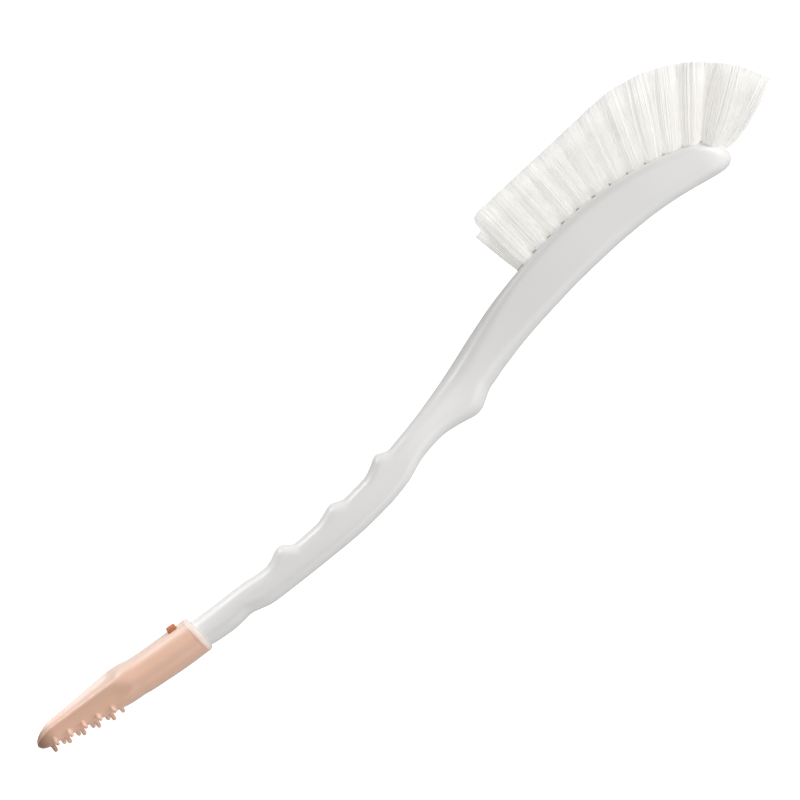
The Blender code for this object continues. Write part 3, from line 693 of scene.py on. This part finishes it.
routed = tufting.nodes.new('GeometryNodeCaptureAttribute')
for label, value in (('Start', start), ('Knee', knee), ('Tip', tip), ('Row way', row_way)):
    routed.capture_items.new('VECTOR', label)
    tufting.links.new(value, routed.inputs[label])
tufting.links.new(bundle.outputs['Geometry'], routed.inputs['Geometry'])
straight = add(tufting, 'GeometryNodeMeshCylinder', {
    'Vertices': given['Sides'], 'Side Segments': given['Steps'], 'Radius': 1.0, 'Depth': 1.0})
measured = tufting.nodes.new('GeometryNodeCaptureAttribute')
measured.capture_items.new('VECTOR', 'Unit')
tufting.links.new(straight.outputs['Mesh'], measured.inputs['Geometry'])
tufting.links.new(add(tufting, 'GeometryNodeInputPosition').outputs[0], measured.inputs['Unit'])
planted = add(tufting, 'GeometryNodeInstanceOnPoints', {
    'Points': routed.outputs['Geometry'], 'Instance': measured.outputs['Geometry']})
real = add(tufting, 'GeometryNodeRealizeInstances', {0: planted.outputs[0]})
unit = add(tufting, 'ShaderNodeSeparateXYZ', {0: measured.outputs['Unit']}).outputs
up_filament = maths(tufting, 'ADD', unit['Z'], 0.5)


def between(low, high):
    """The point between two others at the filament's own height."""
    way = vectors(tufting, 'SUBTRACT', high, low)
    return vectors(tufting, 'ADD', low, vectors(tufting, 'SCALE', way, up_filament))


line = between(between(routed.outputs['Start'], routed.outputs['Knee']),
               between(routed.outputs['Knee'], routed.outputs['Tip']))
skin_way = vectors(tufting, 'ADD', vectors(tufting, 'SCALE', tuple(SIDE), unit['X']),
                   vectors(tufting, 'SCALE', routed.outputs['Row way'], unit['Y']))
skin_out = vectors(tufting, 'SCALE', skin_way, given['Filament radius'])
bent = add(tufting, 'GeometryNodeSetPosition', {
    'Geometry': real.outputs[0], 'Position': vectors(tufting, 'ADD', line, skin_out)})
marked = add(tufting, 'GeometryNodeStoreNamedAttribute', {
    'Geometry': bent.outputs[0], 'Name': 'up_filament', 'Value': up_filament})
rounded = add(tufting, 'GeometryNodeSetShadeSmooth', {'Geometry': marked.outputs[0]})
coloured = add(tufting, 'GeometryNodeSetMaterial', {
    'Geometry': rounded.outputs[0], 'Material': given['Nylon']})
add(tufting, 'NodeGroupOutput', {0: coloured.outputs[0]})

# The nylon differs a little from strand to strand. It has a faint painted glow of its own for
# what real filaments pass on to each other, more of that glow at the tips, and painted shade
# on the colour and the glow of the middle row's roots, which stand in the shade of the rows
# beside them
NYLON_DARK = (0.83, 0.825, 0.805, 1)
NYLON_PALE = (0.88, 0.875, 0.86, 1)
NYLON_LIGHT = (1, 0.978, 0.965)
NYLON_LIGHT_STRENGTH = 0.158
STRAND_SCALE = 420
STRAND_DETAIL = 1
STRAND_LOW = 0.3
STRAND_HIGH = 0.7
RIM_START_SHARE = 0.17
RIM_END_SHARE = 0.22
TIP_START_SHARE = 0.82

nylon = bpy.data.materials.new('nylon_bristle')
nylon.use_nodes = True
nylon_nodes = nylon.node_tree
nylon_shader = nylon_nodes.nodes['Principled BSDF']
nylon_place = add(nylon_nodes, 'ShaderNodeTexCoord').outputs['Object']
strands = add(nylon_nodes, 'ShaderNodeTexNoise', {
    'Vector': nylon_place, 'Scale': STRAND_SCALE, 'Detail': STRAND_DETAIL})
shade_step = add(nylon_nodes, 'ShaderNodeMapRange', {
    'Value': strands.outputs[0], 'From Min': STRAND_LOW, 'From Max': STRAND_HIGH})
nylon_tone = add(nylon_nodes, 'ShaderNodeMix', {
    'Factor': shade_step.outputs[0], 'A': NYLON_DARK, 'B': NYLON_PALE}, data_type='RGBA')
up_nylon = add(nylon_nodes, 'ShaderNodeAttribute', attribute_name='up_filament').outputs['Fac']
carried_light = add(nylon_nodes, 'ShaderNodeAttribute', attribute_name='tuft_painted_light')
tuft_painted_light = add(nylon_nodes, 'ShaderNodeSeparateXYZ', {0: carried_light.outputs['Vector']}).outputs
# Painted shade: the middle row's filaments are darker, in colour and glow, just above their roots
in_rim = add(nylon_nodes, 'ShaderNodeMapRange', {
    'Value': up_nylon, 'From Min': RIM_START_SHARE, 'From Max': RIM_END_SHARE,
    'To Min': 1.0, 'To Max': 0.0})
painted_root_shade_factor = maths(nylon_nodes, 'SUBTRACT', 1.0, maths(
    nylon_nodes, 'MULTIPLY', tuft_painted_light['X'], in_rim.outputs[0]))
nylon_tone_with_painted_shade = vectors(nylon_nodes, 'SCALE', nylon_tone.outputs['Result'], painted_root_shade_factor)
# Painted highlight: the glow grows towards the tips
to_tip = add(nylon_nodes, 'ShaderNodeMapRange', {
    'Value': up_nylon, 'From Min': TIP_START_SHARE, 'From Max': 1.0,
    'To Min': 1.0, 'To Max': tuft_painted_light['Z']})
own_light = maths(nylon_nodes, 'MULTIPLY', tuft_painted_light['Y'], painted_root_shade_factor)
lit = vectors(nylon_nodes, 'SCALE', NYLON_LIGHT,
              maths(nylon_nodes, 'MULTIPLY', to_tip.outputs[0], own_light))
nylon_nodes.links.new(nylon_tone_with_painted_shade, nylon_shader.inputs['Base Color'])
nylon_nodes.links.new(lit, nylon_shader.inputs['Emission Color'])
nylon_shader.inputs['Roughness'].default_value = 0.45
nylon_shader.inputs['IOR'].default_value = 1.53
nylon_shader.inputs['Emission Strength'].default_value = NYLON_LIGHT_STRENGTH

# Each tuft's point carries its spread along and across the row with its flare, and its painted
# root shade with its filaments' painted glow and its tips'
for number, row in enumerate(seats):
    bristles = seat_points('bristles_' + row, [row])
    stored = bristles.data.attributes.new('spread', 'FLOAT_VECTOR', 'POINT')
    stored.data.foreach_set('vector', [
        value for seat in seats[row]
        for value in (SPREAD_ALONG * smooth(SPREAD_SHARES, seat[3]), SPREAD_ACROSS,
                      smooth(FLARE_SHARES, seat[3]))])
    lights = bristles.data.attributes.new('tuft_painted_light', 'FLOAT_VECTOR', 'POINT')
    lights.data.foreach_set('vector', [
        value for seat in seats[row]
        for value in (smooth(ROOT_SHADE_SHARES, seat[3]) if row == 'middle' else 0.0,
                      smooth(LIGHT_SHARES, seat[3]), smooth(TIP_LIGHT_SHARES, seat[3]))])
    grow(bristles, tufting, {
        'Filaments': FILAMENTS, 'Filament radius': FILAMENT_RADIUS,
        'Bundle radius': BUNDLE_RADIUS, 'Sunk': BUNDLE_SUNK, 'Flare height': FLARE_HEIGHT,
        'Looseness': LOOSENESS, 'Uneven': TRIM_UNEVEN, 'Sides': FILAMENT_SIDES,
        'Steps': FILAMENT_STEPS, 'Seed': number,
        'Trim surface': trim_surface, 'Nylon': nylon})
    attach(bristles, 'brush')
    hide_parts(*[f'tuft_{row}_{k + 1:02d}' for k in range(len(seats[row]))])
bpy.data.objects.remove(trim_surface)

# Teat cleaner
# A pink silicone sleeve pushed over the handle's tang, moulded in one with its rolled lip, the
# flutes and fins of its tapered tip and three rows of soft nubs underneath.
SLEEVE_LENGTH = 61.9 * MM
SLEEVE_RADIUS = 6.25 * MM
SLEEVE_RISE = 0.5 * MM
LIP_WIDTH = 1.9 * MM
LIP_PROUD = 0.1 * MM
MOUTH_EDGE = 1.7 * MM
MOUTH_CURL = 0.85 * MM
FIT_CLEARANCE = 0.3 * MM
BORE_OVERRUN = 2.5 * MM
FLUTE_START_SHARE = 0.42
FLUTE_FULL_SHARE = 0.54
FLUTE_SHARES = ((57, 0.24), (123, 0.24), (-8, 0.15), (188, 0.15))
FLUTE_HALF_ANGLE = 29
SLEEVE_SHARES = (
    (0.08, 1.00), (0.16, 1.01), (0.24, 1.00), (0.32, 0.99), (0.40, 1.00), (0.44, 1.015),
    (0.475, 1.02), (0.505, 1.00), (0.55, 0.945), (0.61, 0.875), (0.68, 0.785), (0.76, 0.685),
    (0.84, 0.61), (0.91, 0.535), (0.95, 0.445), (0.975, 0.33), (0.992, 0.19))
SLEEVE_END_SHARES = ((1.0, 0.02),)
SLEEVE_LIFT_SHARES = (
    (0.00, 0.00), (0.10, -0.05), (0.18, -0.07), (0.30, -0.08), (0.36, -0.07), (0.42, -0.01),
    (0.50, 0.00), (0.65, 0.02), (0.88, 0.03), (0.95, -0.07), (1.00, -0.16))
SLEEVE_SIDES = 160
SLEEVE_RINGS = 150
CURVE_STEPS = 60
SLEEVE_EDGE_ANGLE = 50
SILICONE_GRAIN_DEPTH = 0.04 * MM
SILICONE_SCATTER = 1 * MM
SILICONE_PINK = (0.89, 0.567, 0.417, 1)
# Painted light: a sheen for the upper side, shade for the tip and a highlight for the lip
UPPER_PAINTED_SHEEN = (0.92, 0.79, 0.73, 1)
TIP_PAINTED_SHADE = (0.36, 0.19, 0.12, 1)
LIP_PAINTED_HIGHLIGHT = (0.97, 0.88, 0.82, 1)
# The sleeve is paler on its upper side with painted light and sheen, browner at its tip with
# painted shade and palest on its lip with a painted highlight. Each row has a tone, a direction
# from the mouth, a size with the shares of it where the tone's strength changes, its strength
# before and after that, and how it changes
SLEEVE_PAINTED_LIGHT = (
    (UPPER_PAINTED_SHEEN, TANG_UP, SLEEVE_RADIUS, 0.15, 0.9, 0.0, 0.6, 'SMOOTHSTEP'),
    (TIP_PAINTED_SHADE, TANG_OUT, SLEEVE_LENGTH, 0.87, 1.0, 0.0, 1.0, 'SMOOTHSTEP'),
    (LIP_PAINTED_HIGHLIGHT, Vector((-1, 0, 0)), LIP_WIDTH, 0.75, 0.95, 0.7, 0.0, 'LINEAR'))

sleeve_middle = origin + mouth_middle + Vector((0, SLEEVE_RISE, 0))
silicone = moulded_material(
    'pink_silicone',
    {'Colour': SILICONE_PINK, 'Cloud': 0.08, 'Cloud Scale': 60, 'Gloss Low': 0.32,
     'Gloss High': 0.42, 'Grain Scale': 1800},
    {'Strength': 0.2, 'Distance': SILICONE_GRAIN_DEPTH},
    {'IOR': 1.41, 'Subsurface Weight': 0.25, 'Subsurface Scale': SILICONE_SCATTER,
     'Subsurface Radius': (1, 0.45, 0.3), 'Sheen Weight': 1.0, 'Sheen Roughness': 0.36,
     'Coat Weight': 0.5, 'Coat Roughness': 0.4})
silicone_nodes = silicone.node_tree
silicone_colour = silicone_nodes.nodes['Principled BSDF'].inputs['Base Color']
painted_silicone_colour = silicone_colour.links[0].from_socket
from_mouth = vectors(
    silicone_nodes, 'SUBTRACT', add(silicone_nodes, 'ShaderNodeTexCoord').outputs['Object'],
    tuple(sleeve_middle))
# Mixes the painted sheen, the painted tip shade and the painted lip highlight into the colour
for tone, way, size, start, end, before, after, ease in SLEEVE_PAINTED_LIGHT:
    reach = vectors(silicone_nodes, 'DOT_PRODUCT', from_mouth, tuple(way))
    tone_share = add(silicone_nodes, 'ShaderNodeMapRange', {
        'Value': reach, 'From Min': start * size, 'From Max': end * size,
        'To Min': before, 'To Max': after}, interpolation_type=ease)
    mixed = add(silicone_nodes, 'ShaderNodeMix', {
        'Factor': tone_share.outputs[0], 'A': painted_silicone_colour, 'B': tone}, data_type='RGBA')
    painted_silicone_colour = mixed.outputs['Result']
silicone_nodes.links.new(painted_silicone_colour, silicone_colour)

sleeve_tree = new_tree('sleeve_skin', {
    'Sides': 'Int', 'Rings': 'Int', 'Mouth middle': 'Vector', 'Out': 'Vector', 'Up': 'Vector',
    'Length': 'Float', 'Radius': 'Float', 'Lip width': 'Float', 'Lip proud': 'Float',
    'Mouth edge': 'Float', 'Mouth curl': 'Float', 'Mouth slant': 'Float', 'Flute start': 'Float',
    'Flute full': 'Float', 'Flute half angle': 'Float', 'Silicone': 'Material'})
given = sleeve_tree.nodes.new('NodeGroupInput').outputs
tube = add(sleeve_tree, 'GeometryNodeMeshCylinder', {
    'Vertices': given['Sides'], 'Side Segments': given['Rings'], 'Radius': 1.0, 'Depth': 1.0})
unit = add(sleeve_tree, 'ShaderNodeSeparateXYZ', {
    0: add(sleeve_tree, 'GeometryNodeInputPosition').outputs[0]}).outputs
turn = maths(sleeve_tree, 'ARCTAN2', unit['Y'], unit['X'])
even = maths(sleeve_tree, 'MULTIPLY', maths(sleeve_tree, 'ADD', unit['Z'], 0.5), math.pi)
share = maths(sleeve_tree, 'MULTIPLY',
              maths(sleeve_tree, 'SUBTRACT', 1, maths(sleeve_tree, 'COSINE', even)), 0.5)


def drawn_curve(tree, place, points):
    """A Float Curve node that follows smooth() through the points."""
    node = add(tree, 'ShaderNodeFloatCurve', {'Value': place})
    node.mapping.use_clip = False
    curve = node.mapping.curves[0]
    curve.points[0].location = (0, smooth(points, 0))
    curve.points[1].location = (1, smooth(points, 1))
    for k in range(1, CURVE_STEPS):
        curve.points.new(k / CURVE_STEPS, smooth(points, k / CURVE_STEPS))
    node.mapping.update()
    return node.outputs[0]


girth_share = drawn_curve(sleeve_tree, share, SLEEVE_SHARES + SLEEVE_END_SHARES)
radius = maths(sleeve_tree, 'MULTIPLY', girth_share, given['Radius'])
bow = maths(sleeve_tree, 'MULTIPLY', drawn_curve(sleeve_tree, share, SLEEVE_LIFT_SHARES),
            given['Radius'])
depth = 0.0
for middle, deep in FLUTE_SHARES:
    off = maths(sleeve_tree, 'WRAP', maths(sleeve_tree, 'SUBTRACT', turn, math.radians(middle)),
                math.pi, -math.pi)
    reach = maths(sleeve_tree, 'DIVIDE', off, given['Flute half angle'])
    dip = maths(sleeve_tree, 'MAXIMUM', 0.0,
                maths(sleeve_tree, 'SUBTRACT', 1.0, maths(sleeve_tree, 'MULTIPLY', reach, reach)))
    depth = maths(sleeve_tree, 'ADD', depth, maths(sleeve_tree, 'MULTIPLY', dip, deep))
fade = add(sleeve_tree, 'ShaderNodeMapRange', {
    'Value': share, 'From Min': given['Flute start'], 'From Max': given['Flute full']},
    interpolation_type='SMOOTHSTEP')
fluted = maths(sleeve_tree, 'MULTIPLY', radius, maths(
    sleeve_tree, 'SUBTRACT', 1.0, maths(sleeve_tree, 'MULTIPLY', depth, fade.outputs[0])))
out = maths(sleeve_tree, 'MULTIPLY', share, given['Length'])
lip_edge = maths(sleeve_tree, 'ADD', given['Lip width'], given['Lip proud'])
lip = add(sleeve_tree, 'ShaderNodeMapRange', {
    'Value': out, 'From Min': given['Lip width'], 'From Max': lip_edge,
    'To Min': given['Lip proud'], 'To Max': 0.0}, interpolation_type='SMOOTHSTEP')
near_mouth = add(sleeve_tree, 'ShaderNodeMapRange', {
    'Value': out, 'From Min': 0.0, 'From Max': given['Mouth edge'], 'To Min': 1.0, 'To Max': 0.0})
curled = maths(sleeve_tree, 'SUBTRACT', 1.0, maths(sleeve_tree, 'SQRT', maths(
    sleeve_tree, 'SUBTRACT', 1.0, maths(sleeve_tree, 'MULTIPLY', near_mouth.outputs[0],
                                        near_mouth.outputs[0]))))
skin = maths(sleeve_tree, 'SUBTRACT', maths(sleeve_tree, 'ADD', fluted, lip.outputs[0]),
             maths(sleeve_tree, 'MULTIPLY', curled, given['Mouth curl']))
height = maths(sleeve_tree, 'MULTIPLY', skin, maths(sleeve_tree, 'SINE', turn))
width = maths(sleeve_tree, 'MULTIPLY', skin, maths(sleeve_tree, 'COSINE', turn))
slant = maths(sleeve_tree, 'MULTIPLY', maths(sleeve_tree, 'MULTIPLY', height, given['Mouth slant']),
              maths(sleeve_tree, 'SUBTRACT', 1.0, share))
where = vectors(sleeve_tree, 'ADD', given['Mouth middle'], vectors(
    sleeve_tree, 'SCALE', given['Out'], maths(sleeve_tree, 'ADD', out, slant)))
where = vectors(sleeve_tree, 'ADD', where, vectors(
    sleeve_tree, 'SCALE', given['Up'], maths(sleeve_tree, 'ADD', height, bow)))
where = vectors(sleeve_tree, 'ADD', where, vectors(sleeve_tree, 'SCALE', tuple(SIDE), width))
skinned = add(sleeve_tree, 'GeometryNodeSetPosition', {
    'Geometry': tube.outputs['Mesh'], 'Position': where})
pink = add(sleeve_tree, 'GeometryNodeSetMaterial', {
    'Geometry': skinned.outputs[0], 'Material': given['Silicone']})
add(sleeve_tree, 'NodeGroupOutput', {0: pink.outputs[0]})

teat_cleaner = bpy.data.objects.new('teat_cleaner_silicone', bpy.data.meshes.new('silicone'))
bpy.context.scene.collection.objects.link(teat_cleaner)
grow(teat_cleaner, sleeve_tree, {
    'Sides': SLEEVE_SIDES, 'Rings': SLEEVE_RINGS, 'Mouth middle': sleeve_middle,
    'Out': TANG_OUT, 'Up': TANG_UP, 'Length': SLEEVE_LENGTH, 'Radius': SLEEVE_RADIUS,
    'Lip width': LIP_WIDTH, 'Lip proud': LIP_PROUD, 'Mouth edge': MOUTH_EDGE,
    'Mouth curl': MOUTH_CURL, 'Mouth slant': math.tan(TANG_ANGLE),
    'Flute start': FLUTE_START_SHARE, 'Flute full': FLUTE_FULL_SHARE,
    'Flute half angle': math.radians(FLUTE_HALF_ANGLE), 'Silicone': silicone})

NUB_RADIUS = 0.8 * MM
NUB_HEIGHT = 2.4 * MM
NUB_SUNK = 0.8 * MM
NUB_TIP_MARGIN = 4.1 * MM
NUB_PITCH = 5.15 * MM
NUB_SHIFT = 1.72 * MM
NUB_ROW_ANGLES = (-82, -45, -119)
NUBS_PER_ROW = 5
NUB_SIDES = 16
NUB_RINGS = 14
NUB_SHARES = (
    (0, 1.35), (0.22, 1.2), (0.34, 1.0), (0.8, 0.88), (0.92, 0.74), (0.98, 0.42), (1, 0.1))

nub_tree = new_tree('nubs', {
    'Nub radius': 'Float', 'Nub length': 'Float', 'Sunk': 'Float', 'Sides': 'Int', 'Rings': 'Int',
    'Silicone': 'Material'})
given = nub_tree.nodes.new('NodeGroupInput').outputs
peg = add(nub_tree, 'GeometryNodeMeshCylinder', {
    'Vertices': given['Sides'], 'Side Segments': given['Rings'], 'Radius': 1.0, 'Depth': 1.0})
unit = add(nub_tree, 'ShaderNodeSeparateXYZ', {
    0: add(nub_tree, 'GeometryNodeInputPosition').outputs[0]}).outputs
up_peg = maths(nub_tree, 'ADD', unit['Z'], 0.5)
peg_radius = maths(nub_tree, 'MULTIPLY', drawn_curve(nub_tree, up_peg, NUB_SHARES),
                   given['Nub radius'])
peg_place = add(nub_tree, 'ShaderNodeCombineXYZ', {
    'X': maths(nub_tree, 'MULTIPLY', unit['X'], peg_radius),
    'Y': maths(nub_tree, 'MULTIPLY', unit['Y'], peg_radius),
    'Z': maths(nub_tree, 'SUBTRACT', maths(nub_tree, 'MULTIPLY', up_peg, given['Nub length']),
               given['Sunk'])})
shaped_peg = add(nub_tree, 'GeometryNodeSetPosition', {
    'Geometry': peg.outputs['Mesh'], 'Position': peg_place.outputs[0]})
nub_way = add(nub_tree, 'GeometryNodeInputNamedAttribute', {'Name': 'way'},
              data_type='FLOAT_VECTOR')
nub_turn = add(nub_tree, 'FunctionNodeAlignRotationToVector', {'Vector': nub_way.outputs[0]},
               axis='Z')
pegs = add(nub_tree, 'GeometryNodeInstanceOnPoints', {
    'Points': given['Geometry'], 'Instance': shaped_peg.outputs[0],
    'Rotation': nub_turn.outputs[0]})
real_pegs = add(nub_tree, 'GeometryNodeRealizeInstances', {0: pegs.outputs[0]})
pink = add(nub_tree, 'GeometryNodeSetMaterial', {
    'Geometry': real_pegs.outputs[0], 'Material': given['Silicone']})
add(nub_tree, 'NodeGroupOutput', {0: pink.outputs[0]})

nub_seats, nub_ways = [], []
for row, angle in enumerate(NUB_ROW_ANGLES):
    way = TANG_UP * math.sin(math.radians(angle)) + SIDE * math.cos(math.radians(angle))
    for number in range(NUBS_PER_ROW):
        out = SLEEVE_LENGTH - NUB_TIP_MARGIN - row * NUB_SHIFT - number * NUB_PITCH
        reach = SLEEVE_RADIUS * smooth(SLEEVE_SHARES, out / SLEEVE_LENGTH)
        lifted = SLEEVE_RADIUS * smooth(SLEEVE_LIFT_SHARES, out / SLEEVE_LENGTH)
        nub_seats.append(sleeve_middle + TANG_OUT * out + TANG_UP * lifted + way * reach)
        nub_ways += list(way)
nubs = bpy.data.objects.new('nubs', bpy.data.meshes.new('nubs'))
nubs.data.from_pydata(nub_seats, [], [])
nubs.data.attributes.new('way', 'FLOAT_VECTOR', 'POINT').data.foreach_set('vector', nub_ways)
bpy.context.scene.collection.objects.link(nubs)
grow(nubs, nub_tree, {
    'Nub radius': NUB_RADIUS, 'Nub length': NUB_HEIGHT + NUB_SUNK, 'Sunk': NUB_SUNK,
    'Sides': NUB_SIDES, 'Rings': NUB_RINGS, 'Silicone': silicone})

collar = tang_sections[0]
bore_rings = [tang_ring(-BORE_OVERRUN, *collar[1:], FIT_CLEARANCE)]
bore_rings += [tang_ring(out + FIT_CLEARANCE, *rest, FIT_CLEARANCE) for out, *rest in tang_sections]
bore = loft('bore', bore_rings)
for tool, operation in ((nubs, 'UNION'), (bore, 'DIFFERENCE')):
    cut = teat_cleaner.modifiers.new(tool.name, 'BOOLEAN')
    cut.operation = operation
    cut.solver = 'EXACT'
    cut.object = tool
joined = teat_cleaner.evaluated_get(bpy.context.evaluated_depsgraph_get())
joined_mesh = bpy.data.meshes.new_from_object(joined)
teat_cleaner.modifiers.clear()
teat_cleaner.data = joined_mesh
bpy.data.objects.remove(nubs)
bpy.data.objects.remove(bore)
shade(teat_cleaner, SLEEVE_EDGE_ANGLE)
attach(teat_cleaner, 'teat_cleaner')
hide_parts('teat_cleaner')

# Stud
# A small square stud on the sleeve's upper side, near the lip. It is moulded in one with the
# sleeve, in the same silicone given a darker copper colour that is painted shade, and sits a
# little sunk in its wall.
STUD_LENGTH = 3.1 * MM
STUD_WIDTH = 3.4 * MM
STUD_PROUD = 1.1 * MM
STUD_SUNK = 0.7 * MM
STUD_PLACE = 6.7 * MM
STUD_ANGLE = math.radians(75)
STUD_EDGE = 0.35 * MM
STUD_EDGE_STEPS = 4
STUD_EDGE_PROFILE = 0.5
STUD_EDGE_ANGLE = 60
STUD_PAINTED_SHADE_COPPER = (0.58, 0.2, 0.085, 1)

stud_mesh = bmesh.new()
bmesh.ops.create_cube(stud_mesh, size=1)
bmesh.ops.scale(stud_mesh, vec=(STUD_LENGTH, STUD_PROUD + STUD_SUNK, STUD_WIDTH),
                verts=stud_mesh.verts)
bmesh.ops.bevel(stud_mesh, geom=stud_mesh.edges[:], offset=STUD_EDGE, affect='EDGES',
                segments=STUD_EDGE_STEPS, profile=STUD_EDGE_PROFILE)
stud_up = TANG_UP * math.sin(STUD_ANGLE) + SIDE * math.cos(STUD_ANGLE)
stud_turn = Matrix((-TANG_OUT, stud_up, stud_up.cross(TANG_OUT))).transposed().to_4x4()
stud_lift = SLEEVE_RADIUS * smooth(SLEEVE_LIFT_SHARES, STUD_PLACE / SLEEVE_LENGTH)
stud_middle = (sleeve_middle + TANG_OUT * STUD_PLACE + TANG_UP * stud_lift
               + stud_up * (SLEEVE_RADIUS + (STUD_PROUD - STUD_SUNK) / 2))
stud_mesh.transform(Matrix.Translation(stud_middle) @ stud_turn)
stud = bpy.data.objects.new('sleeve_stud', bpy.data.meshes.new('sleeve_stud'))
stud_mesh.to_mesh(stud.data)
stud_mesh.free()
bpy.context.scene.collection.objects.link(stud)
shade(stud, STUD_EDGE_ANGLE)
# Painted shade: the stud's silicone is coloured a darker copper
painted_shade_silicone = moulded_material(
    'painted_shade_silicone',
    {'Colour': STUD_PAINTED_SHADE_COPPER, 'Cloud': 0.3, 'Cloud Scale': 300, 'Gloss Low': 0.35,
     'Gloss High': 0.5, 'Grain Scale': 1800},
    {'Strength': 0.2, 'Distance': SILICONE_GRAIN_DEPTH}, {'IOR': 1.41})
stud.data.materials.append(painted_shade_silicone)
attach(stud, 'teat_cleaner')
